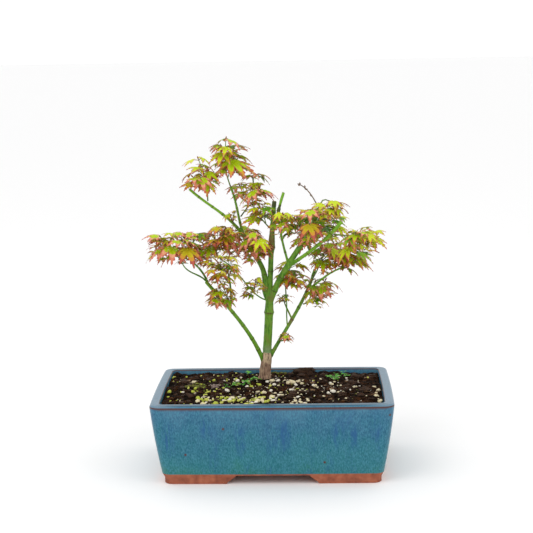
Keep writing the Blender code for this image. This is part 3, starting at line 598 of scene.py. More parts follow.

# The rim's painted light: a pale reflection on the end tops, and painted shade on the side tops.
painted_reflection, deep, bare = (add_node(glaze, "Attribute", output="Fac", attribute_name=name)
                    for name in ("milky_glaze", "deep_glaze", "thin_glaze"))
painted_reflection = add_node(glaze, "MapRange", {"Value": painted_reflection, "To Max": 0.75})
deep = add_node(glaze, "MapRange", {"Value": deep, "To Max": 0.85})
bare = add_node(glaze, "MapRange", {
    "Value": bare, "From Min": 0.32, "From Max": 0.5, "To Max": 0.95})
# Brown specks, kept to where the painted reflection lies.
specks = add_node(glaze, "MapRange", {
    "Value": mottle, "From Min": 0.58, "From Max": 0.7, "To Max": 0.8})
specks = add_node(glaze, "Math", {0: specks, 1: painted_reflection}, operation="MULTIPLY")
bare = add_node(glaze, "Math", {0: bare, 1: specks}, operation="MAXIMUM")
for x, z in PINHOLES:
    hole = add_node(glaze, "Mapping", {
        "Vector": place, "Location": (x * MM, 0, z * MM),
        "Scale": (PINHOLE_REACH, POT_LENGTH, PINHOLE_REACH)}, vector_type="TEXTURE")
    hole = add_node(glaze, "TexGradient", {"Vector": hole}, output="Fac",
                    gradient_type="SPHERICAL")
    bare = add_node(glaze, "Math", {0: hole, 1: 2.0, 2: bare}, operation="MULTIPLY_ADD",
                    use_clamp=True)
# 6C8698 is the pale painted reflection and 124860 the painted shade on the rim's tops.
for share, tone in ((grains, "4C90A6"), (pools, "104E82"), (painted_reflection, "6C8698"),
                    (deep, "124860"), (bare, "4E2A22")):
    colour = add_node(glaze, "Mix", {0: share, 6: colour, 7: linear(tone)}, output=2,
                      data_type="RGBA")
gloss = add_node(glaze, "MapRange", {"Value": mottle, "To Min": 0.22, "To Max": 0.40})
bump = add_node(glaze, "Bump", {"Height": mottle, "Distance": 0.12 * MM, "Strength": 0.6})
fill(glaze, shader, {"Base Color": colour, "Roughness": gloss, "Normal": bump, "IOR": 1.4})
print("the finished glaze has", len(glaze.node_tree.nodes), "nodes")

# %% [markdown]
# Under the glaze the clay is bare, or the pot would stick to the kiln's shelf. Fired
# terracotta is matt and slightly gritty, redder where the flame touched it. Many finishes
# here are like that: one noise drifts between a few colours, and may be the relief as well.
# A helper makes such a skin. The faces below the glaze line, and all that faces the ground,
# take the clay.

# %% Bare clay
def mottled_skin(name, colour, roughness, size, stops, detail=2.0, relief=0.0):
    """A skin whose colour follows a noise of a size in mm, and its relief too if it has one."""
    skin, shader, place = new_material(name, colour, roughness)
    drift = add_node(skin, "TexNoise", {
        "Vector": place, "Scale": 1 / (size * MM), "Detail": detail})
    fill(skin, shader, {"Base Color": add_node(skin, "ValToRGB", {"Fac": drift}, stops)})
    if relief:
        bump = add_node(skin, "Bump", {"Height": drift, "Distance": relief * MM})
        fill(skin, shader, {"Normal": bump})
    return skin, shader, place


# Terracotta, IOR about 1.5, rough as a flowerpot: it gives no gloss at all.
clay, shader, place = mottled_skin("terracotta_bare_fired", "9C563C", 0.85, 9, (
    (0.3, "7E4430"), (0.5, "9C563C"), (0.72, "B26A4C")), 3.0)
grit = add_node(clay, "TexNoise", {"Vector": place, "Scale": 1 / (0.7 * MM), "Detail": 2.0})
bump = add_node(clay, "Bump", {"Height": grit, "Distance": 0.2 * MM})
fill(clay, shader, {"Normal": bump})

pot.data.materials.append(glaze)
pot.data.materials.append(clay)
for face in pot.data.polygons:
    below = face.center.z < GLAZE_LINE or (face.center.z < TUCK_TOP and face.normal.z < -0.3)
    inside = (abs(face.center.x) < outline_at(0)[0] - FOOT_LEG / 3
              and abs(face.center.y) < outline_at(0)[1] - FOOT_LEG / 3
              and face.center.z < FOOT_HEIGHT + FLOOR_THICKNESS + 1 * MM)
    face.material_index = int(below or inside)
finish_piece(pot, "glaze", "pot", smooth=False)
print("bare clay on", sum(face.material_index for face in pot.data.polygons), "faces")

# %% [markdown]
# The soil is peat: dark, fibrous and lumpy. A fine grid is pushed up and down by a gentle
# dome, a level seat for the trunk and three sizes of lumps, drawn down into a thick slab,
# and cut to the pot's inside with a Boolean, so that it fits the leaning walls.

# %% The body of the soil
SOIL_EDGE = 80.5 * MM  # height of the soil at the pot's walls
SOIL_CROWN = 2.2 * MM  # how far it rises in the middle of the pot
SOIL_WAVES = 0.7 * MM
SEAT_HEIGHT = 84.3 * MM  # the level spot under the trunk
SEAT_RADIUS = 10 * MM
SEAT_SKIRT = 16 * MM  # over which that spot passes into the soil round it
TRUNK_FOOT = Vector((-11 * MM, 37 * MM, 81 * MM))  # before it is cut level with the soil
WALL_ROOM = 0.35 * MM
LUMPS = ((17 * MM, 1.4 * MM), (5.5 * MM, 1.8 * MM), (2.2 * MM, 1.0 * MM))  # size and height


def from_trunk(x, y):
    """How far a place on the soil is from the middle of the trunk."""
    return math.hypot(x - TRUNK_FOOT.x, y - TRUNK_FOOT.y)


def soil_height(x, y):
    """The soil's surface: low at the walls, heaped a little round the trunk."""
    half_x, half_y = outline_at(SOIL_EDGE)
    dome = max(0.0, 1 - (x / half_x) ** 2) * max(0.0, 1 - (y / half_y) ** 2)
    waves = (math.sin(x * 105 + 1.0) * math.cos(y * 90) + math.sin(x * 60 - y * 130 + 2.0)) / 2
    ground = SOIL_EDGE + SOIL_CROWN * dome + SOIL_WAVES * waves
    away = smooth_step((from_trunk(x, y) - SEAT_RADIUS) / SEAT_SKIRT)
    return SEAT_HEIGHT + (ground - SEAT_HEIGHT) * away


def peat_height(x, y):
    """The same surface with its lumps, which stop short of the trunk."""
    lumpy = smooth_step((from_trunk(x, y) - 7 * MM) / (6 * MM))
    rise = sum(high * noise.noise(Vector((x / wide, y / wide, wide / MM)))
               for wide, high in LUMPS)
    return soil_height(x, y) + (rise + 0.3 * MM) * lumpy


bpy.ops.object.select_all(action="DESELECT")
bpy.ops.mesh.primitive_grid_add(x_subdivisions=230, y_subdivisions=150, size=1)
soil = bpy.context.object
soil.name = soil.data.name = "peat_soil"
soil.scale = (POT_LENGTH, POT_DEPTH, 1)
bpy.ops.object.transform_apply(scale=True)
for vertex in soil.data.vertices:
    vertex.co.z = peat_height(vertex.co.x, vertex.co.y)
pick(soil, "FACE", lambda face: True)
bpy.ops.mesh.extrude_region_move(TRANSFORM_OT_translate={"value": (0, 0, -30 * MM)})
pick(soil, "VERT", lambda vertex: vertex.co.z < 65 * MM)
bpy.ops.transform.resize(value=(1, 1, 0), center_override=(0, 0, 15 * MM))
pick(soil, "FACE", lambda face: True)
bpy.ops.mesh.normals_make_consistent(inside=False)
bpy.ops.object.mode_set(mode="OBJECT")
bed = walled_block("bed", FOOT_HEIGHT + FLOOR_THICKNESS + WALL_ROOM, POT_HEIGHT + 5 * MM,
                   INNER_CORNER, INNER_LEVELS, (END_WALL + WALL_ROOM, SIDE_WALL + WALL_ROOM))
apply_modifier(soil, "BOOLEAN", operation="INTERSECT", solver="EXACT", object=bed)
bpy.data.objects.remove(bed)
print("the soil has", len(soil.data.vertices), "points")

# %% [markdown]
# Peat has no gloss and hardly any colour of its own: near black where it is wet and packed,
# and a warm brown where dry fibres stick out. Two sizes of noise mix the browns, and a
# grain at the size of its fibres is pushed into the surface.

# %% Peat
# Moist sphagnum peat, milled: IOR about 1.4, fully rough.
peat, shader, place = new_material("peat_moist_milled", "2A1D14", 0.95)
damp = add_node(peat, "TexNoise", {"Vector": place, "Scale": 1 / (14 * MM), "Detail": 2.0})
fibre = add_node(peat, "TexNoise", {
    "Vector": place, "Scale": 1 / (1.5 * MM), "Detail": 4.0, "Roughness": 0.7})
dry = add_node(peat, "Math", {0: damp, 1: 0.7, 2: fibre}, operation="MULTIPLY_ADD")
colour = add_node(peat, "ValToRGB", {"Fac": dry}, stops=(
    (0.62, "080402"), (0.84, "180D05"), (0.96, "361E0E"), (1.0, "54341A")))
bump = add_node(peat, "Bump", {"Height": fibre, "Distance": 0.9 * MM})
fill(peat, shader, {"Base Color": colour, "Normal": bump, "Specular IOR Level": 0.1})
soil.data.materials.append(peat)
finish_piece(soil, "soil", "soil")

# %% [markdown]
# The peat is mixed with perlite, a puffed volcanic glass in crumbs of one to seven
# millimetres. It is cream white when fresh, and algae turn it yellow green where it has
# stayed wet, here in the left half. One lumpy crumb is modelled from a cube, and copies of
# its points are stretched, turned and set into the soil, all in one mesh. Peat crumbs are
# the same shape in brown.

# %% One crumb
def round_cube(cuts, roundness):
    """Points and faces of a unit cube that is cut finer and drawn towards a ball."""
    cube = new_cube()
    pick(cube, "FACE", lambda face: True)
    bpy.ops.mesh.subdivide(number_cuts=cuts)
    bpy.ops.transform.tosphere(value=roundness)
    bpy.ops.object.mode_set(mode="OBJECT")
    points, faces = surface(cube)
    bpy.data.objects.remove(cube)
    return points, faces


def crumb_template(seed):
    """The points and faces of a lumpy crumb about one unit across."""
    points, faces = round_cube(1, 0.85)
    rng = random.Random(seed)
    pushes = [[rng.uniform(0.72, 1.12)] for _ in points]
    return np.array([point[:] for point in points]) * pushes, faces


CRUMBS = [crumb_template(seed) for seed in range(5)]
print("a crumb has", len(CRUMBS[0][1]), "faces")

# %% Crumbs on the soil
# Each drift: middle and half size (mm), how many, share of green ones, and sizes in mm.
DRIFTS = (
    ((-62, -2), (52, 66), 90, 0.75, (1.6, 5.2)), ((-48, -54), (46, 18), 70, 0.6, (2.0, 6.0)),
    ((4, -14), (44, 52), 60, 0.2, (1.6, 5.6)), ((-18, -56), (30, 16), 26, 0.5, (2.2, 6.2)),
    ((62, -2), (40, 50), 60, 0.15, (1.4, 4.6)), ((34, -54), (14, 14), 12, 0.0, (2.0, 5.0)),
    ((106, -28), (7, 44), 12, 0.0, (2.4, 5.6)), ((14, 16), (24, 20), 12, 0.05, (3.0, 7.0)),
    ((-10, 0), (100, 66), 240, 0.4, (0.9, 2.0)),
)
PEAT_CRUMBS = 1300
PERLITE_SINK = 0.12  # share of its size that a crumb is pressed into the soil
TRUNK_CLEAR = 11 * MM  # no perlite lies nearer to the trunk's middle


def inner_reach():
    """Half length and half depth of the soil between the walls."""
    half_x, half_y = outline_at(SOIL_EDGE)
    return half_x - END_WALL, half_y - SIDE_WALL


def set_crumb(rng, x, y, size, flat=0.85, sink=PERLITE_SINK):
    """One crumb's points, stretched, turned and set into the soil."""
    points, faces = rng.choice(CRUMBS)
    scale = np.array([rng.uniform(0.75, 1.35), rng.uniform(0.6, 0.9),
                      rng.uniform(0.6, 0.9) * flat])
    turn = Matrix.Rotation(rng.uniform(0, math.tau), 3, "Z") @ Matrix.Rotation(
        rng.uniform(-0.5, 0.5), 3, "X")
    spot = np.array([x, y, peat_height(x, y) + size * (0.3 * flat - sink)])
    return (points * size * scale) @ np.array(turn).T + spot, faces


rng = random.Random(5)
half_x, half_y = inner_reach()
perlite_shapes = []
for middle, reach, count, green, sizes in DRIFTS:
    for _ in range(count):
        x = (middle[0] + rng.triangular(-1, 1) * reach[0] * 1.15) * MM
        y = (middle[1] + rng.uniform(-1, 1) * reach[1]) * MM
        size = rng.triangular(sizes[0], sizes[1], sizes[0]) * MM
        x = min(max(x, size - half_x), half_x - size)
        y = min(max(y, size - half_y), half_y - size)
        if from_trunk(x, y) < TRUNK_CLEAR:
            continue
        shade = rng.choice((2, 3)) if rng.random() < green else rng.choice((0, 0, 1))
        perlite_shapes.append((*set_crumb(rng, x, y, size), shade))
peat_shapes = []
for _ in range(PEAT_CRUMBS):
    size = rng.triangular(1.6, 6.5, 2.0) * MM
    x, y = rng.uniform(size - half_x, half_x - size), rng.uniform(size - half_y, half_y - size)
    if from_trunk(x, y) > 10 * MM:
        peat_shapes.append((*set_crumb(rng, x, y, size, 0.5, 0.1), rng.choice((0, 0, 1))))
print(len(perlite_shapes), "crumbs of perlite and", len(peat_shapes), "of peat")

# %% [markdown]
# Perlite looks like chalk: its pores scatter the light, and the larger ones hold a little
# brown dust. Dry peat is paler than wet peat and shows its fibres.

# %% Skins of the crumbs
# Perlite, a puffed glass: IOR about 1.5, but so full of pores that it has no gloss.
perlite_skins = []
for name, tone in (("cream", "E8DCB6"), ("white", "F2ECDC"), ("algae_yellow", "D0D264"),
                   ("algae_green", "B6C23C")):
    skin, shader, place = new_material("perlite_" + name, tone, 0.8)
    pores = add_node(skin, "TexNoise", {"Vector": place, "Scale": 1 / (0.8 * MM), "Detail": 2.0})
    dusty = add_node(skin, "MapRange", {
        "Value": pores, "From Min": 0.45, "From Max": 0.75, "To Max": 0.6})
    colour = add_node(skin, "Mix", {0: dusty, 6: linear(tone), 7: linear("7A6644")}, output=2,
                      data_type="RGBA")
    bump = add_node(skin, "Bump", {"Height": pores, "Distance": 0.3 * MM})
    fill(skin, shader, {"Base Color": colour, "Normal": bump})
    perlite_skins.append(skin)
# Milled peat that has dried: as rough as the moist peat, with an IOR about 1.4.
dry_peat, *_ = mottled_skin("peat_dry_crumb", "46301F", 0.95, 1.3, (
    (0.3, "140B05"), (0.62, "40250F")), 3.0)
finish_piece(join_shapes("perlite_crumbs", perlite_shapes, perlite_skins), "soil")
finish_piece(join_shapes("peat_crumbs", peat_shapes, [peat, dry_peat]), "soil")

# %% [markdown]
# Bonsai soil that has stood outdoors a while is never bare. Moss has started in two patches,
# and bigger lumps of peat, a pebble and a few flakes of bark lie on top. Lumps are cubes
# drawn round and roughened, and moss and flakes are many small crumbs in one mesh.

# %% Lumps, moss and flakes
LUMPS_ON_TOP = (  # middle, length, depth and height in mm
    (33, 66, 18, 8, 8), (84, 14, 8, 7, 5), (96, -14, 9, 8, 5), (72, -30, 7, 6, 4),
    (88, 44, 8, 7, 4), (-96, 26, 7, 6, 4), (-84, -36, 7, 6, 4), (54, 52, 7, 6, 4),
    (20, -36, 7, 6, 4), (-54, 40, 7, 6, 4), (79, -4, 7, 5, 5), (91, -36, 6, 6, 4),
)
PEBBLE = (-61.5, 3.5, 7.5, 5, 4)
MOSS = (((-84, 9), (12, 8), 130), ((7.5, 65), (12, 3), 110))  # middle, half size, how many
BARK_FLAKES = 26


def lump(spot, seed):
    """A rough lump: a rounded cube whose points are pushed about by noise."""
    x, y, long, deep, high = spot
    corners, faces = round_cube(7, 0.8)
    points = []
    for corner in corners:
        way = corner.normalized()
        push = 1 + 0.6 * noise.noise(way * 1.8 + UP * seed) + 0.35 * noise.noise(way * 5)
        points.append([place * push * size * MM
                       for place, size in zip(corner, (long, deep, high))])
    spot = np.array([x * MM, y * MM, soil_height(x * MM, y * MM) + 0.28 * high * MM])
    return np.array(points) + spot, faces


rng = random.Random(8)
lump_shapes = [(*lump(spot, seed), 0) for seed, spot in enumerate(LUMPS_ON_TOP)]
lump_shapes.append((*lump(PEBBLE, 77), 1))
moss_shapes, flake_shapes = [], []
for (x, y), (half_long, half_deep), count in MOSS:
    for _ in range(count):
        turn, reach = rng.uniform(0, math.tau), rng.random() ** 0.6
        spot = (x + half_long * reach * math.cos(turn), y + half_deep * reach * math.sin(turn))
        shape = set_crumb(rng, spot[0] * MM, spot[1] * MM, rng.uniform(1.4, 3.0) * MM, 0.7, 0)
        moss_shapes.append((*shape, rng.choice((0, 0, 1))))
for _ in range(BARK_FLAKES):
    x, y = rng.uniform(-100, 108) * MM, rng.uniform(-58, 58) * MM
    if from_trunk(x, y) > 14 * MM:
        flake_shapes.append((*set_crumb(rng, x, y, rng.uniform(2.5, 6) * MM, 0.22, 0), 0))
print(len(moss_shapes), "tufts of moss and", len(flake_shapes), "flakes of bark")

# %% Skins of moss, pebble and bark
# Each is matt: moss and bark by their fibres, the pebble by its worn surface.
brown_moss, fresh_moss, pebble_skin, flake_skin = (
    mottled_skin(name, light, 0.9, size, ((0.35, dark), (0.65, light)), 3.0, 0.4)[0]
    for name, dark, light, size in (("moss_brown_green", "3E3C12", "6E6A20", 2.0),
                                    ("moss_fresh_green", "4A5A14", "7C8C26", 2.0),
                                    ("pebble_pink_grey", "6E5F58", "9C8A80", 1.5),
                                    ("bark_flake_tan", "4E3420", "8E6E4A", 1.5)))
finish_piece(join_shapes("soil_lumps", lump_shapes, [dry_peat, pebble_skin]), "soil")
finish_piece(join_shapes("moss_tufts", moss_shapes, [brown_moss, fresh_moss]), "soil")
finish_piece(join_shapes("bark_flakes", flake_shapes, [flake_skin]), "soil")

# %% [markdown]
# The seedlings are chickweed and the like: each shoot opens two to four soft oval leaves,
# folded along the middle. An oval of eight points is turned round the shoot's top for each
# leaf, which is enough for leaves of a few millimetres.

# %% Seedlings
SEEDLINGS = (  # middle, spread and number of shoots
    ((-28, 17), 4, 7), ((-43, 7), 3, 4), ((-50, 2), 3, 3), ((-27, 51), 3, 4), ((60, 41), 5, 6),
    ((78, 48), 4, 6), ((66, 30), 3, 4), ((70, 44), 6, 4), ((-38, 12), 4, 3), ((-18, 24), 3, 3),
)
OVAL = ((0, 0), (0.3, 0.26), (0.62, 0.3), (1, 0), (0.62, -0.3), (0.3, -0.26), (0.3, 0), (0.62, 0))
OVAL_FACES = ((0, 6, 1), (1, 6, 7, 2), (2, 7, 3), (0, 5, 6), (6, 5, 4, 7), (7, 4, 3))

seedling_shapes = []
for (x, y), spread, shoots in SEEDLINGS:
    for _ in range(shoots):
        sx = (x + rng.uniform(-spread, spread)) * MM
        sy = (y + rng.uniform(-spread, spread)) * MM
        top = Vector((sx, sy, peat_height(sx, sy) + rng.uniform(1.5, 4.5) * MM))
        for turn in np.linspace(0, math.tau, rng.choice((2, 3, 4)), endpoint=False):
            size = rng.uniform(2.6, 4.6) * MM
            tilt = Matrix.Rotation(turn + rng.uniform(-0.5, 0.5), 3, "Z") @ Matrix.Rotation(
                rng.uniform(-0.6, 0.2), 3, "Y")
            oval = [top + tilt @ Vector((u, v, abs(v) * 0.4 - 0.2 * u * u)) * size for u, v in OVAL]
            seedling_shapes.append((np.array([tuple(point) for point in oval]), OVAL_FACES, 0))
# Soft seedling leaves: IOR about 1.45, a thin wax and a fresh green.
seedling_skin, *_ = mottled_skin("seedling_leaf_green", "4F9A1E", 0.45, 5, (
    (0.4, "3E8C18"), (0.6, "6CC034")))
finish_piece(join_shapes("seedling_leaves", seedling_shapes, [seedling_skin]), "leaves")

# %% [markdown]
# A bonsai's limbs are few, so each one is described by its own line: where it leaves its
# parent, how long it is, which way it heads at its foot, middle and tip, and how thick it is
# along the way. Blending the three aims bends the line smoothly, as wire would. The trunk
# has a profile of its own, with the flare at the soil, the woody foot, a ring where it was
# once cut back, and the swelling at the fork.

# %% The limbs' lines
# Each limb: parent, share along the parent's length, own length, three aims
# (heading, rise) in degrees at its foot, middle and tip, and its radii from foot to tip.
# Heading 0 points to the right, 90 to the back. Rise 90 points straight up.
LIMBS = {
    "trunk": (None, 0, 198, ((-30, 82), (-15, 87), (0, 84)), ()),
    "low_left_stem": ("trunk", 0.078, 123, ((-146, 71), (-149, 53), (-160, 51)), (2.6, 2.2, 2.0, 1.9)),
    "low_right_stem": ("trunk", 0.086, 119, ((0, 66), (28, 55), (10, 75)), (2.4, 2.0, 1.9, 1.7)),
    "left_bough": ("trunk", 0.444, 81, ((-50, 127), (147, 61), (116, 62)), (3.1, 3.0, 2.6, 2.2)),
    "right_bough": ("trunk", 0.439, 124, ((-37, 67), (-3, 57), (52, 64)), (3.6, 3.4, 3.1, 2.4, 2.0)),
    "left_twig": ("trunk", 0.455, 73, ((-135, 8), (-158, 52), (-183, 30)), (0.8, 0.7, 0.6)),
    "low_left_fork": ("low_left_stem", 0.965, 29, ((-179, 72), (-168, 57), (-152, 39)),
                      (1.2, 1.1, 0.9)),
    "low_left_spur": ("low_left_stem", 0.98, 35, ((-165, 64), (-151, 27), (-174, 65)), (0.9, 0.8, 0.6)),
    "low_left_side_shoot": ("low_left_stem", 0.66, 50, ((-58, 72), (-109, 81), (-174, 68)),
                            (1.1, 1.0, 0.7)),
    "left_cut_shoot": ("left_bough", 0.96, 81, ((-171, 61), (-165, 38), (-163, 45)),
                       (1.9, 1.6, 1.5, 1.5)),
    "left_top_shoot": ("left_bough", 0.96, 57, ((148, 67), (169, 79), (204, 67)), (1.6, 1.5, 1.3, 1.3)),
    "right_arm": ("right_bough", 0.365, 89, ((-24, 35), (-38, 35), (-19, 51)), (2.1, 1.9, 1.8, 1.7)),
    "inner_shoot": ("right_bough", 0.395, 61, ((-105, 68), (-193, 79), (-238, 81)),
                    (1.4, 1.3, 1.3, 1.5)),
    "inner_shoot_tip": ("inner_shoot", 0.96, 22, ((8, 74), (-7, 74), (-26, 68)), (1.3, 1.6, 1.6)),
    "dead_twig": ("right_bough", 0.95, 37, ((-146, 60), (-146, 52), (-148, 26)), (0.7, 0.6, 0.5)),
    "low_right_arm": ("low_right_stem", 0.79, 51, ((-23, 36), (-28, 36), (-31, 18)), (1.3, 1.2, 1.1)),
    "low_right_twig": ("low_right_stem", 0.41, 38, ((-139, 81), (-83, 78), (-125, 78)),
                       (0.8, 0.7, 0.6)),
    "low_right_stub": ("low_right_stem", 0.49, 17, ((-148, 64), (-148, 64), (-148, 64)), (1.0, 0.9)),
}
# The trunk's radius at heights along it, all in mm: root flare, woody foot, green stem
# with a ring where it was once cut back, three-way fork, and the leader.
TRUNK_PROFILE = ((0, 8.4), (4, 7.5), (9, 6.7), (18, 6.2), (29, 6.4), (33, 5.4), (38, 4.7),
                 (73, 4.6), (77, 5.1), (81, 4.7), (89, 4.3), (97, 3.5), (109, 3.0), (127, 2.9),
                 (141, 2.8), (148, 3.8), (157, 3.3), (164, 2.7), (198, 2.3))
print("longest limb:", max(plan[2] for plan in LIMBS.values()), "mm")

# %% [markdown]
# A limb's line is walked in small steps. At each step the aim is blended from the three that
# are given, and the place moves on along it. The finished line then answers three questions:
# where a share of its length lies, which way it heads there, and how thick the limb is.

# %% Lines from aims
def direction(heading, rise):
    """The unit vector of a heading and a rise in degrees."""
    turn, lift = math.radians(heading), math.radians(rise)
    flat = math.cos(lift)
    return Vector((flat * math.cos(turn), flat * math.sin(turn), math.sin(lift)))


def along(values, share):
    """The value at a share along a row of evenly spaced numbers."""
    place = min(max(share, 0.0), 1.0) * (len(values) - 1)
    index = min(int(place), len(values) - 2)
    return values[index] + (values[index + 1] - values[index]) * (place - index)


def bent(start, middle, end, share):
    """The quadratic through three evenly spaced values."""
    return (start * (1 - share) * (1 - 2 * share) + middle * 4 * share * (1 - share)
            + end * share * (2 * share - 1))


class Limb:
    """The line and the thickness of one limb, worked out from its aims."""
    fine = 48  # steps from foot to tip

    def __init__(self, start, length, aims, radii):
        self.length = length * MM
        self.radii = [radius * MM for radius in radii]
        (h0, r0), (h1, r1), (h2, r2) = aims
        point = Vector(start)
        self.line = [point.copy()]
        for step in range(self.fine):
            share = (step + 0.5) / self.fine
            aim = direction(bent(h0, h1, h2, share), bent(r0, r1, r2, share))
            point = point + aim * (self.length / self.fine)
            self.line.append(point.copy())

    def at(self, share):
        """The place on the line at a share of its length."""
        place = min(max(share, 0.0), 1.0) * self.fine
        index = min(int(place), self.fine - 1)
        return self.line[index].lerp(self.line[index + 1], place - index)

    def heading(self, share):
        """The way that the line heads there."""
        return (self.at(share + 0.02) - self.at(share - 0.02)).normalized()

    def radius(self, share):
        """The limb's radius there."""
        return along(self.radii, share)


class Trunk(Limb):
    """The trunk follows its own profile, given by height above the soil."""

    def radius(self, share):
        height = share * self.length / MM
        for (low, wide), (high, narrow) in zip(TRUNK_PROFILE, TRUNK_PROFILE[1:]):
            if height <= high:
                return (wide + (narrow - wide) * (height - low) / (high - low)) * MM
        return TRUNK_PROFILE[-1][1] * MM


limbs = {}
for name, (parent, share, length, aims, radii) in LIMBS.items():
    start = limbs[parent].at(share) if parent else TRUNK_FOOT
    limbs[name] = (Limb if parent else Trunk)(start, length, aims, radii)
print(len(limbs), "limbs,", round(sum(limb.length for limb in limbs.values()), 3), "m in all")

# %% [markdown]
# A limb is a tube whose rings follow its line. All the limbs and twigs here come from one
# helper that works the rings out as arrays, which is quick for hundreds of twigs. The thick
# limbs are then fused by a voxel remesh, so that forks grow out of each other without a
# seam, and their surface is fine enough to carry the bark's relief.

# %% Tubes from rings
def across(axis):
    """Two unit vectors at right angles to an axis, the first one level."""
    level = axis.cross(UP)
    if level.length < 0.05:
        level = Vector((1, 0, 0))
    level.normalize()
    return level, level.cross(axis).normalized()


def bow(start, control, end, steps):
    """Points along a curve from start to end that is drawn towards a control point."""
    return [start.lerp(control, step / steps).lerp(control.lerp(end, step / steps), step / steps)
            for step in range(steps + 1)]


def sideways(axis, turn):
    """A unit vector at right angles to an axis, turned round it from the level."""
    level, upright = across(axis)
    return level * math.cos(turn) + upright * math.sin(turn)


def tube(points, radii, sides):
    """A closed tube round a line: its points as an array, and its faces."""
    points = np.array([tuple(point) for point in points])
    ahead = np.gradient(points, axis=0)
    ahead /= np.linalg.norm(ahead, axis=1)[:, None]
    level = np.array(across(Vector(ahead[0]))[0])
    turns = np.linspace(0, math.tau, sides, endpoint=False)[:, None]
    rings = []
    for point, axis, radius in zip(points, ahead, radii):
        level = level - axis * (level @ axis)
        level /= np.linalg.norm(level)
        rings.append(point + radius * (np.cos(turns) * level
                                       + np.sin(turns) * np.cross(axis, level)))
    faces = [tuple(reversed(range(sides)))]
    last = (len(points) - 1) * sides
    for low in range(0, last, sides):
        for side in range(sides):
            after = (side + 1) % sides
            faces.append((low + side, low + after, low + sides + after, low + sides + side))
    faces.append(tuple(range(last, last + sides)))
    return np.concatenate(rings), faces

# %% [markdown]
# A young maple stem is smooth and green, with a brown scar ring and a slight swelling at
# each node where leaves once stood. Near the soil it turns to wood under a grey brown bark
# with fine cracks. The woody foot is a sleeve of its own round the green core, and ends in
# a ragged edge. Where the tree was pruned, the ends are flat and dark.

# %% Nodes and thickness
THIN_LIMBS = ("left_twig", "low_left_fork", "low_left_spur", "low_left_side_shoot", "dead_twig",
              "low_right_twig", "low_right_stub")
NODE_PITCH = (13, 24)  # mm between a limb's scar rings
NODE_SWELL = 0.09  # share of the radius by which a node swells
TRUNK_NODES = (77, 122, 148, 172, 186)  # mm above the soil
FOOT_TOP = 36  # mm above the soil, where the woody foot ends
CORE_RADIUS = 4.5  # mm, of the green stem inside it
FOOT_PROFILE = ((0, 7.2), (4, 6.5), (9, 6.1), (17, 5.9), (24, 5.9), (28, 5.4), (32, 4.75),
                (36, 4.3))  # height above the soil and radius of the woody foot, mm

node_shares = {"trunk": [height * MM / limbs["trunk"].length for height in TRUNK_NODES]}
for name, limb in limbs.items():
    if name not in node_shares:
        rng = random.Random(name)
        places, place = [], rng.uniform(*NODE_PITCH) * MM
        while place < limb.length - 3 * MM:
            places.append(place / limb.length)
            place += rng.uniform(*NODE_PITCH) * MM
        node_shares[name] = places


def node_distance(name, share):
    """How far along a limb the nearest scar ring is, in mm."""
    length = limbs[name].length / MM
    return min((abs(share - place) * length for place in node_shares[name]), default=99.0)


def limb_tube(name, sides, step):
    """The tube of a whole limb, swollen at its nodes. The trunk's is its green core."""
    limb = limbs[name]
    count = max(4, round(limb.length / step))
    shares = [index / count for index in range(count + 1)]
    radii = []
    for share in shares:
        radius = limb.radius(share)
        if name == "trunk" and share * limb.length < FOOT_TOP * MM:
            radius = CORE_RADIUS * MM
        radii.append(radius * (1 + NODE_SWELL * math.exp(-(node_distance(name, share) / 1.6) ** 2)))
    return tube([limb.at(share) for share in shares], radii, sides)


print(sum(len(places) for places in node_shares.values()), "nodes on the limbs")

# %% The stout limbs, fused
def fused(name, shapes, voxel, rounds):
    """One skin round closed shapes, remeshed with voxels and smoothed a few times."""
    obj = join_shapes(name, shapes, [])
    apply_modifier(obj, "REMESH", mode="VOXEL", voxel_size=voxel)
    apply_modifier(obj, "CORRECTIVE_SMOOTH", factor=0.5, iterations=rounds,
                   use_only_smooth=True)
    return obj


stout = [name for name in LIMBS if name not in THIN_LIMBS]
branches = fused("green_limbs", [(*limb_tube(name, 24, 1.5 * MM), 0) for name in stout],
                 0.5 * MM, 5)
measure(branches)

# %% The woody foot
foot_limb = limbs["trunk"]
heights = np.linspace(0, FOOT_TOP, 30)
foot_radii = np.interp(heights, *zip(*FOOT_PROFILE)) * MM
foot_points = [foot_limb.at(height * MM / foot_limb.length) for height in heights]
woody_foot = fused("woody_foot", [(*tube(foot_points, foot_radii, 40), 0)], 0.4 * MM, 6)
slice_at(woody_foot, (0, 0, SEAT_HEIGHT - 1.5 * MM), (0, 0, 1))
pick(woody_foot, "VERT", lambda vertex: vertex.co.z < SEAT_HEIGHT - 1.51 * MM)
bpy.ops.mesh.delete(type="VERT")
pick(woody_foot, "EDGE", lambda edge: edge.is_boundary)
bpy.ops.mesh.edge_face_add()
bpy.ops.object.mode_set(mode="OBJECT")
measure(woody_foot)

# %% [markdown]
# The relief is worked out point by point: each point of the mesh looks up the limb it
# belongs to and how far along that limb it stands. The same look-up fills the attributes
# that the bark's shader reads, so a scar's ridge and its brown ring fall together.

# %% Which limb a point belongs to
spots = [(name, index / Limb.fine) for name in stout for index in range(Limb.fine + 1)]
line_tree = KDTree(len(spots))
for index, (name, share) in enumerate(spots):
    line_tree.insert(limbs[name].at(share), index)
line_tree.balance()


def place_on_limb(point):
    """The limb whose surface a point is nearest to, and the share along it."""
    best = None
    for spot, index, distance in line_tree.find_n(point, 3):
        name, share = spots[index]
        gap = abs(distance - limbs[name].radius(share))
        if best is None or gap < best[0]:
            best = (gap, name, share, spot)
    _, name, share, spot = best
    limb = limbs[name]
    return name, share + (point - spot).dot(limb.heading(share)) / limb.length


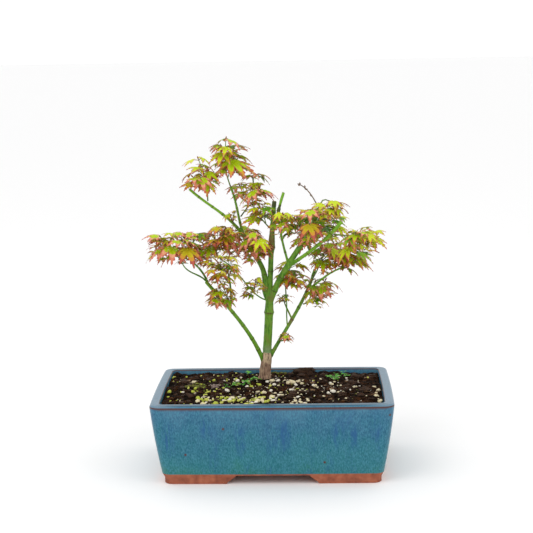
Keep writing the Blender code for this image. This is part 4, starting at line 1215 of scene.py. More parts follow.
def points_and_normals(obj):
    """Every point of a mesh with the way it faces, read in one go."""
    read = []
    for items, field in ((obj.data.vertices, "co"), (obj.data.vertex_normals, "vector")):
        numbers = np.empty(3 * len(items), dtype=np.float32)
        items.foreach_get(field, numbers)
        read.append([Vector(row) for row in numbers.reshape(-1, 3).tolist()])
    return list(zip(*read))


print(len(spots), "places on the limbs' lines to look up")

# %% [markdown]
# Now every point of the green mesh is moved along its normal: out at a scar ring, in at a cut face, and
# a little by noise drawn out along the grain. What the shader needs is noted on the way: how fresh the
# limb is, where it was cut or died back, where it is rusty, and the grey waxy bloom on the lowest stem,
# whose pale sheen is painted into its colour.

# %% Relief of the green limbs
BRIGHT_LIMBS = {  # how much fresher than the rest a limb is, from 0 to 1
    "left_cut_shoot": 1.0, "right_arm": 0.9, "low_right_arm": 0.9, "left_top_shoot": 0.4,
    "inner_shoot_tip": 0.8, "low_left_stem": 0.4, "inner_shoot": 0.3,
}
DARK_CUTS = {"trunk": 6.0, "right_bough": 5.0, "inner_shoot": 4.0}  # mm of dark end
RUSTY = {"trunk": (141, 172), "low_right_stem": (48, 62),  # between which mm along a limb
         "low_left_stem": (0, 14)}
FORKED_ENDS = ("left_bough", "low_left_stem", "low_right_stem", "inner_shoot")  # not cut
GRAIN_RELIEF = 0.10  # mm, of the fine ridges along the bark
SCAR_RELIEF = 0.14  # mm, of a scar ring
TRUNK_SCAR_RELIEF = 0.24
CUT_DEPTH = 0.18  # mm, by which a cut face is sunk
ROUGH_RELIEF = 0.35  # mm, of dead and rusty bark
COLLAR_RELIEF = 0.6  # mm, of the collar where a shoot regrew from a cut
# The grey bloom is a waxy skin with its pale sheen painted in.
BLOOM_TOP = 46  # mm along the trunk, where the grey bloom ends

scars, cuts, bright, burnt, rusty, bloom, moved = [], [], [], [], [], [], []
skin = points_and_normals(branches)
for point, normal in skin:
    name, share = place_on_limb(point)
    limb = limbs[name]
    reached, beyond = share * limb.length / MM, (1 - share) * limb.length / MM
    rough = noise.noise(point / (1.6 * MM))
    scar = max(0.0, 1 - abs(node_distance(name, share) + 0.5 * rough) / 0.9)
    at_cut = name not in FORKED_ENDS and beyond < 0.8
    cut = float(at_cut and normal.dot(limb.heading(share)) > 0.6)
    dark = name in DARK_CUTS and beyond < DARK_CUTS[name] + 1.5 * rough
    dark = dark or (name == "inner_shoot_tip" and reached < 8 + 1.5 * rough)
    rust = RUSTY.get(name, (0, 0))
    rust = smooth_step((reached - rust[0]) / 6) * smooth_step((rust[1] - reached) / 6)
    ridge = noise.noise(Vector((point.x, point.y, point.z * 0.25)) / (1.4 * MM))
    scar_lift = TRUNK_SCAR_RELIEF if name == "trunk" else SCAR_RELIEF
    lift = GRAIN_RELIEF * ridge + scar_lift * scar - CUT_DEPTH * cut
    lift += ROUGH_RELIEF * abs(noise.noise(point / (1.1 * MM))) * (dark or rust > 0.5)
    lift += COLLAR_RELIEF * (name == "inner_shoot_tip") * (1 - smooth_step((reached - 3) / 3))
    moved.append(point + normal * lift * MM)
    scars.append(scar)
    cuts.append(cut)
    bright.append(BRIGHT_LIMBS.get(name, 0.0) * smooth_step(share * 3))
    burnt.append(float(dark))
    rusty.append(rust)
    # The waxy bloom and its painted pale sheen, low on the trunk.
    bloom.append((name == "trunk") * smooth_step((BLOOM_TOP - reached) / 14))
branches.data.vertices.foreach_set("co", np.array(moved).ravel())
paint(branches, scar=scars, cut=cuts, bright=bright, burnt=burnt, rusty=rusty, bloom=bloom)
print("cut faces at", int(sum(cuts)), "points, dark ends at", int(sum(burnt)))

# %% [markdown]
# The wood of the foot is furrowed along its grain, and cracked deepest where the furrows are; the depth
# of a furrow also sets how much painted shade fills it. Its upper edge is ragged and sinks into the
# green stem, it swells at the soil where the roots set off, and pale callus has grown over the front of
# its upper half.

# %% Relief of the woody foot
FURROW_RELIEF = 0.42  # mm
LUMP_RELIEF = 0.4  # mm, of the slow swells
EDGE_HEIGHT = 30  # mm, the mean height of the ragged edge
EDGE_SINK = 0.9  # mm, by which the sleeve sinks in above it

callus, crack, moved = [], [], []
skin = points_and_normals(woody_foot)
for point, normal in skin:
    height = (point.z - SEAT_HEIGHT) / MM
    turn = math.atan2(point.y - foot_limb.at(0.1).y, point.x - foot_limb.at(0.1).x)
    ring = Vector((math.cos(turn), math.sin(turn), 0)) * 1.3
    ragged = EDGE_HEIGHT + 2.0 * noise.noise(ring) + 1.2 * noise.noise(ring * 4)
    grain_place = Vector((point.x, point.y, point.z * 0.22)) / (1.5 * MM)
    furrow = noise.noise(grain_place) + 0.5 * noise.noise(grain_place * 2.3)
    lift = FURROW_RELIEF * furrow + LUMP_RELIEF * noise.noise(point / (5 * MM))
    sink = smooth_step((height - ragged + 2) / 4)
    root = max(0.0, 1 - height / 5) * 0.5 * (1 + noise.noise(ring + UP * 7))
    moved.append(point + normal * (lift * (1 - sink) + root - EDGE_SINK * sink) * MM)
    # Darkness in the furrows: their cracks and painted shade, fading above the ragged edge.
    crack.append(max(0.0, -furrow) * (1 - 0.6 * sink))
    callus.append(smooth_step((height - 15 + 5 * noise.noise(point / (4 * MM))) / 5)
                  * smooth_step((0.4 - normal.y) / 0.6))
woody_foot.data.vertices.foreach_set("co", np.array(moved).ravel())
paint(woody_foot, crack=crack, callus=callus)
finish_piece(branches, "green_bark", *stout)
finish_piece(woody_foot, "woody_bark", "trunk")
# Counts the points of deep cracks, which also carry painted shade.
print("cracks at", sum(depth > 0.25 for depth in crack), "points")

# %% [markdown]
# Green bark is living skin with a thin wax on it. It is brightest on the youngest shoots,
# darker and streaked on older wood, with brown rings at the scars, corky dots in between,
# and pale or blackened wood where it was cut.

# %% Green bark
# Living maple bark: IOR about 1.45, a satin wax, streaked along the limb.
green_bark, shader, place = new_material("maple_bark_green_young", "4F8024", 0.5)
tall = add_node(green_bark, "Mapping", {"Vector": place, "Scale": (1, 1, 0.2)})
streaks = add_node(green_bark, "TexNoise", {
    "Vector": tall, "Scale": 1 / (1.5 * MM), "Detail": 3.0})
cloud = add_node(green_bark, "TexNoise", {
    "Vector": place, "Scale": 1 / (11 * MM), "Detail": 2.0})
shade = add_node(green_bark, "Math", {0: streaks, 1: 0.9, 2: cloud}, operation="MULTIPLY_ADD")
colour = add_node(green_bark, "ValToRGB", {"Fac": shade}, stops=(
    (0.66, "38621A"), (0.86, "4E7E20"), (1.0, "6A982C")))
marks = {name: add_node(green_bark, "Attribute", output="Fac", attribute_name=name)
         for name in ("bright", "rusty", "bloom", "scar", "burnt", "cut")}
dots = add_node(green_bark, "TexVoronoi", {"Vector": place, "Scale": 1 / (3.4 * MM)})
dots = add_node(green_bark, "MapRange", {
    "Value": dots, "From Min": 0.2, "From Max": 0.1, "To Max": 0.55})
rust = add_node(green_bark, "MapRange", {
    "Value": cloud, "From Min": 0.56, "From Max": 0.7, "To Max": 0.6})
rust = add_node(green_bark, "Math", {0: dots, 1: rust}, operation="MAXIMUM")
aged = add_node(green_bark, "Math", {0: 1.0, 1: marks["bright"]}, operation="SUBTRACT")
rust = add_node(green_bark, "Math", {0: rust, 1: aged}, operation="MULTIPLY")
band = add_node(green_bark, "Math", {0: marks["rusty"], 1: streaks}, operation="MULTIPLY")
rust = add_node(green_bark, "Math", {0: band, 1: 1.2, 2: rust}, operation="MULTIPLY_ADD",
                use_clamp=True)
layers = [(marks["bright"], "7CB030"), (rust, "786A3C")]
# 8CA486 is the grey waxy bloom with its pale sheen painted in.
for name, tone, most in (("bloom", "8CA486", 0.55), ("scar", "4E3A22", 0.85),
                         ("burnt", "3A3226", 0.85), ("cut", "7A6A4A", 0.85)):
    share = add_node(green_bark, "MapRange", {"Value": marks[name], "To Max": most})
    layers.append((share, tone))
for share, tone in layers:
    colour = add_node(green_bark, "Mix", {0: share, 6: colour, 7: linear(tone)}, output=2,
                      data_type="RGBA")
bump = add_node(green_bark, "Bump", {"Height": streaks, "Distance": 0.35 * MM, "Strength": 0.7})
fill(green_bark, shader, {"Base Color": colour, "Normal": bump, "Specular IOR Level": 0.25})
branches.data.materials.append(green_bark)
print("green bark mixes", len(layers), "layers over its green")

# %% [markdown]
# The wood at the foot is grey brown cork. Its fibres run up the stem, the furrows of the relief are
# dark with their cracks and with painted shade, and new callus is paler where the bark has split.

# %% Woody bark
# Old maple bark: dry cork, IOR about 1.4 and rough, cracked along the grain.
woody_bark, shader, place = new_material("maple_bark_woody_cracked", "8A7460", 0.9)
tall = add_node(woody_bark, "Mapping", {"Vector": place, "Scale": (1, 1, 0.2)})
fibres = add_node(woody_bark, "TexNoise", {
    "Vector": tall, "Scale": 1 / (1.5 * MM), "Detail": 4.0, "Roughness": 0.65})
colour = add_node(woody_bark, "ValToRGB", {"Fac": fibres}, stops=(
    (0.32, "5A3E2C"), (0.48, "927460"), (0.66, "B89C80")))
# The second attribute is the depth of the furrows, for their cracks and their painted shade.
pale, shaded_cracks = (add_node(woody_bark, "Attribute", output="Fac", attribute_name=name)
              for name in ("callus", "crack"))
pale = add_node(woody_bark, "Math", {0: pale, 1: fibres}, operation="MULTIPLY")
pale = add_node(woody_bark, "MapRange", {
    "Value": pale, "From Min": 0.3, "From Max": 0.55, "To Max": 0.9})
shaded_cracks = add_node(woody_bark, "MapRange", {
    "Value": shaded_cracks, "From Min": 0.18, "From Max": 0.55, "To Max": 0.8})
# 3A281C is the dark of the cracks and of the painted shade in the furrows.
for share, tone in ((pale, "CDB492"), (shaded_cracks, "3A281C")):
    colour = add_node(woody_bark, "Mix", {0: share, 6: colour, 7: linear(tone)}, output=2,
                      data_type="RGBA")
bump = add_node(woody_bark, "Bump", {"Height": fibres, "Distance": 0.7 * MM})
fill(woody_bark, shader, {"Base Color": colour, "Normal": bump})
woody_foot.data.materials.append(woody_bark)
print("woody bark has", len(woody_bark.node_tree.nodes), "nodes")

# %% [markdown]
# The thin limbs are too fine for the voxels of the fused mesh, so they stay tubes with
# swollen nodes, which end inside their parents. One of them died in winter: it is grey and
# dry, and still carries its closed, pointed buds.

# %% Thin limbs
# Dead wood, weathered: IOR about 1.4, matt and grey brown.
dry_twig, *_ = mottled_skin("maple_twig_dead_grey", "6E6558", 0.85, 2, (
    (0.35, "5A463A"), (0.65, "8E7868")))
green_thin = [name for name in THIN_LIMBS if name != "dead_twig"]
thin_limbs = join_shapes("thin_green_limbs", [(*limb_tube(name, 12, 1.0 * MM), 0)
                                              for name in green_thin], [green_bark])
dead_shapes = [(*limb_tube("dead_twig", 10, 0.8 * MM), 0)]
for share, sides in ((0.45, (0,)), (0.72, (0, 180)), (0.8, (80,)), (1.0, (0, 120, 240))):
    spot, ahead = limbs["dead_twig"].at(share), limbs["dead_twig"].heading(min(share, 0.97))
    level, upright = across(ahead)
    for turn in sides:  # dry pointed buds, in pairs and at the tip
        angle = math.radians(turn)
        aim = (level * math.cos(angle) + upright * math.sin(angle) + ahead * 0.9).normalized()
        line = [spot + aim * reach * MM for reach in (0, 1.0, 2.0, 3.2)]
        dead_shapes.append((*tube(line, [size * MM for size in (0.5, 0.95, 0.75, 0.15)], 8), 0))
finish_piece(thin_limbs, "green_bark", *green_thin)
finish_piece(join_shapes("dead_grey_twig", dead_shapes, [dry_twig]), "woody_bark", "dead_twig")

# %% [markdown]
# Leaves are dealt out by rule, as a maple does it. Each spray has a stem that bends from its
# limb to the top of the space it fills. Side shoots set off from it a set turn apart, and
# leaves stand on stem and shoots in opposite pairs, each pair across the one below. A leaf
# is tried as a simple solid against all that already stands there, turned or shrunk a
# little where it doesn't fit, and skipped where nothing helps. Seeded random numbers give
# the same tree every time.

# %% The sprays' plan
STALK_RADIUS = 0.45 * MM
LEAF_THICKNESS = 0.8 * MM  # of the simple solid that is tried for room
LEAF_ROOM = 0.4 * MM  # air kept round a leaf while the tree grows
CLEAR = 0.3 * MM

# angle from the midrib and share of the blade's length, for one half of a leaf
LOBES = {7: ((0, 1.0), (38, 0.92), (74, 0.70), (114, 0.38)),
         5: ((0, 1.0), (43, 0.84), (88, 0.54))}
SEVEN_LOBES = 17 * MM  # shorter blades have five lobes
NOTCH = 0.50  # depth of the cuts between lobes, as a share of their length
CUP = 0.34  # how far the lobe tips hang below the blade's middle

# how shoots and leaves are dealt out along a stem
STEM_RADII = (0.8 * MM, 0.45 * MM)
SHOOT_RADII = (0.6 * MM, 0.4 * MM)
SHOOT_TURN = 137  # degrees round the stem from one side shoot to the next
SHOOT_SPACING = 0.16  # share of the stem between them
SHOOT_SWINGS = (0, 50, -50, 100, -100, 150, -150)  # turns tried, in degrees
SHOOT_SHRINKS = (1, 0.75, 0.55)  # lengths tried
SHOOT_REACH = 0.85  # a shoot's length, as a share of its space's half size
SHOOT_ROOM = 1.6 * MM  # radius kept free round a new shoot
PAIR_TURN = 90  # each pair of leaves stands across the one below
LEAF_SPREAD = (50, 72)  # degrees between a stalk and its stem
LEAF_STALK = (0.30, 0.50)  # a stalk's length, as a share of its blade's
LEAF_SIZES = (0.85, 1.1)
TIP_LOSS = 0.25  # how much smaller the youngest pair is
LEAF_DROOP = (20, 55)  # degrees that a blade hangs below the level
LEAF_ROLL = 24
LEAF_SWINGS = (0, 24, -24, 48, -48)
LEAF_SHRINKS = (1, 0.88, 0.76, 0.66)

# Each spray of leaves: the limb that carries it and the share along it, the middle and
# half size of the space it fills (mm), where in that space its stem ends (shares of the
# half size), leaf pairs on the stem, side shoots, length of its largest blade (mm), seed.
SPRAYS = {
    "crown_top": ("left_top_shoot", 1, (-37, 46, 319), (27, 26, 25), (-.4, 0, .98), 5, 1, 24, 57),
    "crown_left": ("left_cut_shoot", .70, (-72, 34, 304), (24, 26, 22), (-.2, 0, .9), 4, 2, 19, 39),
    "crown_middle": ("left_top_shoot", .40, (-22, 50, 287), (30, 25, 18), (.1, .1, .9), 4, 2, 20, 60),
    "bough_tuft": ("left_cut_shoot", .24, (-45, 41, 258), (8, 9, 9), (0, 0, .5), 1, 0, 9, 55),
    "far_left": ("low_left_spur", 1, (-100, -12, 230), (28, 26, 19), (-.5, 0, .9), 5, 2, 23, 47),
    "left_tips": ("low_left_fork", 1, (-78, 12, 226), (21, 20, 20), (-.2, .2, .7), 3, 1, 18, 2),
    "left_middle": ("left_twig", 1, (-56, 22, 229), (31, 26, 24), (-.1, .1, .9), 4, 3, 22, 24),
    "left_front": ("low_left_side_shoot", .62, (-52, -12, 209), (21, 20, 18), (-.1, -.4, .6),
                   3, 1, 20, 25),
    "centre_left": ("left_bough", .70, (-18, 16, 227), (18, 21, 21), (.1, -.3, .8), 3, 1, 21, 10),
    "left_back": ("left_bough", .80, (-40, 66, 226), (27, 18, 22), (-.2, .3, .8), 4, 2, 21, 27),
    "leader_left": ("trunk", .85, (-14, 42, 261), (19, 21, 18), (-.4, .2, .7), 3, 1, 18, 7),
    "leader_right": ("inner_shoot", .62, (11, 3, 258), (14, 14, 14), (.1, -.2, .7), 2, 1, 17, 56),
    "right_front": ("right_arm", .42, (43, -14, 254), (17, 21, 22), (.0, -.3, .9), 3, 1, 27, 42),
    "right_back": ("right_bough", .66, (27, 46, 237), (22, 22, 25), (-.2, .3, .8), 4, 2, 20, 31),
    "right_crest": ("right_bough", 1, (62, 24, 261), (20, 21, 17), (.3, -.1, .8), 4, 1, 18, 15),
    "right_middle": ("low_right_stem", .90, (58, 18, 221), (20, 24, 24), (.1, -.2, .7), 3, 2, 20, 37),
    "right_rear": ("right_bough", .84, (54, 66, 238), (26, 18, 25), (.1, .4, .8), 4, 2, 21, 31),
    "far_right_top": ("right_arm", .80, (95, -6, 233), (27, 25, 19), (.5, .1, .8), 5, 2, 21, 43),
    "far_right_low": ("low_right_stem", 1, (83, 34, 209), (32, 26, 21), (.2, -.1, .8), 4, 3, 26, 46),
    "right_low": ("low_right_twig", 1, (22, 36, 192), (18, 21, 21), (-.1, .0, .8), 3, 1, 19, 33),
    "right_skirt": ("low_right_stem", .66, (51, 50, 174), (18, 19, 18), (.3, .1, .8), 3, 1, 19, 13),
    "low_right_tuft": ("low_right_stub", 1, (15, 40, 162), (12, 13, 13), (-.4, .6, .7), 2, 0, 12, 32),
    "foot_tuft": ("low_right_stem", .27, (14, 34, 127), (8, 10, 8), (.1, -.1, .6), 1, 0, 10, 2),
    "left_skirt": ("low_left_stem", .70, (-54, -2, 186), (17, 19, 22), (.1, -.4, .5), 3, 1, 18, 31),
    "twig_tuft": ("left_twig", .33, (-22, 14, 186), (15, 14, 12), (.3, -.1, .8), 2, 0, 13, 46),
}
print(len(SPRAYS), "sprays on", len({plan[0] for plan in SPRAYS.values()}), "limbs")

# %% [markdown]
# The solid that stands for a leaf while the tree grows is a thin cupped blade with a rim
# that goes in at the notches, drawn out into a three-sided stalk. All solids are put in one
# store, which holds a tree of faces for each, so that a new one is quickly tried against
# those whose bounding balls it touches.

# %% Simple leaves, and the room they take
def lobe_tips(lobes):
    """Angle and reach of every lobe of a leaf, from one side round to the other."""
    half = LOBES[lobes]
    return [(-angle, reach) for angle, reach in reversed(half[1:])] + list(half)


def leaf_ring(size, lobes):
    """The outline of a blade from its first lobe tip round the notches to its last, cupped."""
    tips = lobe_tips(lobes)
    ring = []
    for (angle, reach), following in zip(tips, tips[1:] + [None]):
        ring.append((angle, reach))
        if following:
            ring.append(((angle + following[0]) / 2, NOTCH * (reach + following[1]) / 2))
    outline = []
    for angle, reach in ring:
        turn = math.radians(angle)
        outline.append(Vector((reach * math.cos(turn), reach * math.sin(turn),
                               -CUP * reach ** 2)) * size)
    return outline


def stalk_ring(stalk, extra=0.0):
    """The stalk's three corners where it joins a blade, in the blade's own axes.

    They lie square to the bend between the stalk and the midrib, so that neither
    cuts into the other however far the blade hangs.
    """
    forward = (Vector((1, 0, 0)) - stalk.normalized()).normalized()
    level = Vector((0, 1, 0))
    level = (level - forward * level.dot(forward)).normalized()
    radius = STALK_RADIUS + extra
    low = forward.cross(level) * -0.4 * radius
    return [low - level * radius, forward.cross(level) * radius, low + level * radius]


def leaf_solid(frame, size, lobes, root, extra=0.0):
    """Points and triangles of a leaf: a thin blade drawn out into a stalk that ends at root."""
    ring = [frame @ point for point in leaf_ring(size + 2 * extra, lobes)]
    heel = [frame @ point for point in stalk_ring(frame.inverted() @ root, extra)]
    foot = [point - frame.translation + root for point in heel]
    half = LEAF_THICKNESS / 2 + extra
    heart = 0.14 * size
    points = ring + [frame @ Vector((heart, 0, half)), frame @ Vector((heart, 0, -half))]
    count = len(ring)
    upper, lower = count, count + 1
    right, top, left = count + 2, count + 3, count + 4
    points += heel + foot
    rim = [right] + list(range(count)) + [left]
    faces = [(upper, left, top), (upper, top, right), (lower, right, left)]
    for one, following in zip(rim, rim[1:]):
        faces.append((upper, one, following))
        faces.append((lower, following, one))
    for one, following in ((right, top), (top, left), (left, right)):
        faces.append((one, following, following + 3))
        faces.append((one, following + 3, one + 3))
    faces.append((right + 3, top + 3, left + 3))
    return points, faces


def cone_solid(start, end, wide, narrow):
    """Points and triangles of a three-sided stalk."""
    ahead = (end - start).normalized()
    corners = [sideways(ahead, math.tau * corner / 3) for corner in range(3)]
    points = [start + corner * wide for corner in corners]
    points += [end + corner * narrow for corner in corners]
    faces = [(0, 2, 1), (3, 4, 5)]
    for corner in range(3):
        after = (corner + 1) % 3
        faces.append((corner, after, after + 3))
        faces.append((corner, after + 3, corner + 3))
    return points, faces


def ball(points):
    """The middle of some points, and how far the furthest of them is from it."""
    middle = sum(points, Vector()) / len(points)
    return middle, max((point - middle).length for point in points)


class Room:
    """What already takes up space round the tree."""

    def __init__(self):
        self.taken = []

    def add(self, points, faces):
        """Takes up the room of a solid."""
        self.taken.append((*ball(points), BVHTree.FromPolygons(points, faces)))

    def free(self, points, faces):
        """Whether a solid cuts none that is there."""
        middle, reach = ball(points)
        tree = BVHTree.FromPolygons(points, faces)
        return not any((other - middle).length < reach + other_reach and tree.overlap(other_tree)
                       for other, other_reach, other_tree in self.taken)


print("a simple leaf has", len(leaf_ring(1, 7)), "points round its blade")

# %% [markdown]
# A spray knows its space, its own random numbers, and what has grown in it so far. It grows
# in three goes, the stem, the side shoots and the leaves, so that all the sprays can take
# each go together, before any of them fills up.

# %% How a spray grows
class Spray:
    """One mass of leaves: a stem, its side shoots, and leaves in opposite pairs."""

    def __init__(self, name, limbs, plan):
        carrier, share, middle, reach, tip, pairs, shoots, blade, seed = plan
        self.name = name
        self.rng = random.Random(seed)
        self.middle = Vector(middle) * MM
        self.reach = Vector(reach) * MM
        self.pairs = pairs
        self.shoots = shoots
        self.blade = blade * MM
        self.stems = []
        self.leaves = []
        top = self.middle + Vector(r * t for r, t in zip(self.reach, tip))
        self.add_stem(*self.foot(limbs[carrier], share), top)

    def foot(self, limb, share):
        """Where the stem meets its limb, and the way it sets off."""
        axis = limb.at(share)
        ahead = limb.heading(share)
        if share >= 1:
            return axis + ahead * (CLEAR + 0.05 * MM), ahead
        out = self.middle - axis
        out = (out - ahead * out.dot(ahead)).normalized()
        aim = (out + ahead * 0.7).normalized()
        return axis + out * (limb.radius(share) + CLEAR + 0.5 * MM), aim

    def add_stem(self, start, aim, end, radii=STEM_RADII, steps=4):
        """Adds a stem or shoot that bends from its aim to its end."""
        control = start + aim * (end - start).length * 0.45
        sizes = [along(radii, step / steps) for step in range(steps + 1)]
        self.stems.append((bow(start, control, end, steps), sizes))

    def inside(self, point, slack=1.0):
        """Whether a point is in the spray's space, which is a rounded box."""
        offset = point - self.middle
        return sum(abs(offset[i] / (self.reach[i] * slack)) ** 4 for i in range(3)) <= 1.0

    def grow_shoots(self, room):
        """Side shoots set off from the lower half of the stem, where there is room."""
        for index in range(self.shoots):
            turn = self.rng.uniform(0, 360) + SHOOT_TURN * index
            spot, ahead = self.on_stem(0, self.entry(0) + SHOOT_SPACING * index)
            self.grow_shoot(room, spot, ahead, turn)

    def grow_shoot(self, room, spot, ahead, turn):
        """Tries one side shoot, turned and shortened until it has room."""
        for shrink in SHOOT_SHRINKS:
            for swing in SHOOT_SWINGS:
                out = sideways(ahead, math.radians(turn + swing))
                aim = (out + ahead * 0.8).normalized()
                run = aim * sum(self.reach) / 3 * SHOOT_REACH + Vector((0, 0, 0.1 * self.reach.z))
                end = spot + run * shrink
                solid = cone_solid(spot + aim * 2 * MM, end, SHOOT_ROOM, SHOOT_ROOM)
                if self.inside(end, 0.95) and room.free(*solid):
                    self.add_stem(spot, aim, end, SHOOT_RADII, 2)
                    return

    def entry(self, which):
        """The share along a stem where it is well inside the spray's space."""
        shares = [step / 20 for step in range(4, 15)]
        return next((s for s in shares if self.inside(self.on_stem(which, s)[0], 0.9)), shares[-1])

    def on_stem(self, which, share):
        """The place at a share along a stem, and the way it heads there."""
        points = self.stems[which][0]
        place = min(max(share, 0.0), 1.0) * (len(points) - 1)
        index = min(int(place), len(points) - 2)
        ahead = (points[index + 1] - points[index]).normalized()
        return points[index].lerp(points[index + 1], place - index), ahead

    def grow_leaves(self, room):
        """Leaves in pairs along every stem and shoot, the last pair at its tip."""
        for which in range(len(self.stems)):
            pairs = self.pairs if which == 0 else 2
            first = self.entry(which)
            turn = self.rng.uniform(0, 180)
            for pair in range(pairs):
                share = first + (0.97 - first) * (pair + 1) / pairs
                youth = pair / max(pairs - 1, 1)
                for side in (0, 180):
                    self.grow_leaf(room, which, share, turn + PAIR_TURN * pair + side, youth)

    def grow_leaf(self, room, which, share, turn, youth):
        """Tries one leaf at a node, turned and shrunk a little until it fits, or skips it."""
        spread = self.rng.uniform(*LEAF_SPREAD)
        stalk = self.rng.uniform(*LEAF_STALK)
        size = self.blade * (1 - TIP_LOSS * youth) * self.rng.uniform(*LEAF_SIZES)
        droop = self.rng.uniform(*LEAF_DROOP)
        roll = self.rng.uniform(-LEAF_ROLL, LEAF_ROLL)
        spot, ahead = self.on_stem(which, share)
        for swing in LEAF_SWINGS:
            out = sideways(ahead, math.radians(turn + swing))
            aim = (out * math.sin(math.radians(spread))
                   + ahead * math.cos(math.radians(spread))).normalized()
            for shrink in LEAF_SHRINKS:
                blade = size * shrink
                base = spot + aim * blade * stalk
                frame = self.blade_frame(base, aim, droop, roll)
                lobes = 7 if blade > SEVEN_LOBES else 5
                if self.fits(room, spot, aim, base, frame, blade, lobes):
                    return

    def blade_frame(self, base, aim, droop, roll):
        """The blade's own axes: along its midrib, across it, and out of its upper face."""
        flat = Vector((aim.x, aim.y, 0))
        flat.normalize()
        sink = math.radians(droop)
        midrib = (flat * math.cos(sink) - Vector((0, 0, math.sin(sink)))).normalized()
        side = Vector((0, 0, 1)).cross(flat).normalized()
        side = Matrix.Rotation(math.radians(roll), 3, midrib) @ side
        up = midrib.cross(side)
        return Matrix.Translation(base) @ Matrix((midrib, side, up)).transposed().to_4x4()

    def fits(self, room, spot, aim, base, frame, blade, lobes):
        """Keeps a leaf if it stays in the spray's space and touches nothing."""
        tips = [frame @ point for point in leaf_ring(blade, lobes)]
        if not all(self.inside(tip) for tip in tips):
            return False
        thick = STALK_RADIUS + LEAF_ROOM
        stalk = cone_solid(spot + aim * 3 * MM, base, thick, thick)
        short = base - aim * 1 * MM
        roomy = leaf_solid(frame, blade, lobes, short, LEAF_ROOM)
        if not (room.free(*stalk) and room.free(*roomy)):
            return False
        self.leaves.append((frame, blade, lobes, spot))
        room.add(*leaf_solid(frame, blade, lobes, spot))
        return True

# %% Grow the sprays
def take_stems(room, stems):
    """Takes up the room of stems or shoots, one stretch at a time."""
    for points, radii in stems:
        for start, end, wide, narrow in zip(points, points[1:], radii, radii[1:]):
            room.add(*cone_solid(start, end, wide, narrow))


room = Room()
for name in LIMBS:
    room.add(*surface(nodes[name]))
sprays = [Spray(name, limbs, plan) for name, plan in SPRAYS.items()]
for spray in sprays:
    take_stems(room, spray.stems)
for spray in sprays:
    spray.grow_shoots(room)
    take_stems(room, spray.stems[1:])
for spray in sprays:
    spray.grow_leaves(room)
print(sum(len(spray.leaves) for spray in sprays), "leaves in", len(sprays), "sprays")

# %% [markdown]
# Those are the grown leaves. In spring a maple also pushes out finer twigs, thin as wire,
# each with a pair of young leaves that are still small and red. They start anywhere on the
# stems and shoots, keep to about the same reach, and are tried against all that stands
# there too, so they fill gaps in a spray and leave the sky between the sprays open. Some
# pruned shoots stand free on a real tree, so the room in front of them is taken first.

# %% Finer twigs and young leaves
YOUNG_TRIES = 46  # twigs tried in each spray
TWIG_LENGTH = (4, 15)  # mm
TWIG_RADII = (0.38 * MM, 0.28 * MM)
YOUNG_BLADE = (0.36, 0.72)  # a young blade's length, as a share of the spray's largest
YOUNG_DROOP = (5, 48)  # degrees
YOUNG_REACH = 1.12  # how far its tips may pass the spray's space
YOUNG_ROOM = 0.1 * MM


def young_leaf(spray, room, rng, root, ahead, turn):
    """Tries one young leaf at the end of a twig, turned and shrunk until it fits."""
    blade = spray.blade * rng.uniform(*YOUNG_BLADE)
    droop, roll = rng.uniform(*YOUNG_DROOP), rng.uniform(-30, 30)
    for swing in (0, 45, -45):
        aim = (sideways(ahead, math.radians(turn + swing)) + ahead * 0.7).normalized()
        for shrink in (1, 0.75):
            size = blade * shrink
            base = root + aim * size * 0.3
            frame = spray.blade_frame(base, aim, droop, roll)
            lobes = 7 if size > SEVEN_LOBES else 5
            if not all(spray.inside(frame @ tip, YOUNG_REACH) for tip in leaf_ring(size, lobes)):
                continue
            if room.free(*leaf_solid(frame, size, lobes, base - aim * 0.5 * MM, YOUNG_ROOM)):
                room.add(*leaf_solid(frame, size, lobes, root))
                return [(frame, size, lobes, root)]
    return []


def grow_young(spray, room):
    """Finer twigs on a spray, each with a pair of young leaves if there is room."""
    rng = random.Random(spray.name + " young")
    spray.twigs, spray.young = [], []
    for _ in range(YOUNG_TRIES):
        which = rng.randrange(len(spray.stems))
        spot, ahead = spray.on_stem(which, rng.uniform(spray.entry(which), 1.0))
        out = sideways(ahead, rng.uniform(0, math.tau))
        aim = (out + ahead * rng.uniform(0.3, 1.1) + UP * 0.3).normalized()
        end = spot + aim * rng.uniform(*TWIG_LENGTH) * MM
        path = cone_solid(spot + aim * 1.5 * MM, end, 0.45 * MM, 0.4 * MM)
        if not (spray.inside(end) and room.free(*path)):
            continue
        turn = rng.uniform(0, 360)
        grown = [leaf for side in (0, 180)
                 for leaf in young_leaf(spray, room, rng, end, aim, turn + side)]
        if grown:
            spray.twigs.append(([spot, spot.lerp(end, 0.5) + out * 0.6 * MM, end], TWIG_RADII))
            spray.young += grown
            room.add(*path)


def keep_clear(limb, low, high, ahead=70 * MM, above=2.5 * MM):
    """Takes up the room in front of a cut shoot, which the young leaves leave open."""
    ends = [limb.at(low), limb.at(high)]
    points = [end + Vector((0, y, z)) for end in ends for y, z in (
        (-3 * MM, -above), (-3 * MM, above), (-ahead, above), (-ahead, -above))]
    room.add(points, [(0, 1, 2, 3), (7, 6, 5, 4), (0, 4, 5, 1), (1, 5, 6, 2), (2, 6, 7, 3),
                      (3, 7, 4, 0)])


for name, low, high in (("right_arm", 0.45, 1.0), ("left_cut_shoot", 0.3, 0.95),
                        ("inner_shoot", 0.1, 0.9), ("low_right_arm", 0.3, 0.9)):
    keep_clear(limbs[name], low, high)
for spray in sprays:
    grow_young(spray, room)
print(sum(len(spray.young) for spray in sprays), "young leaves on",
      sum(len(spray.twigs) for spray in sprays), "finer twigs")

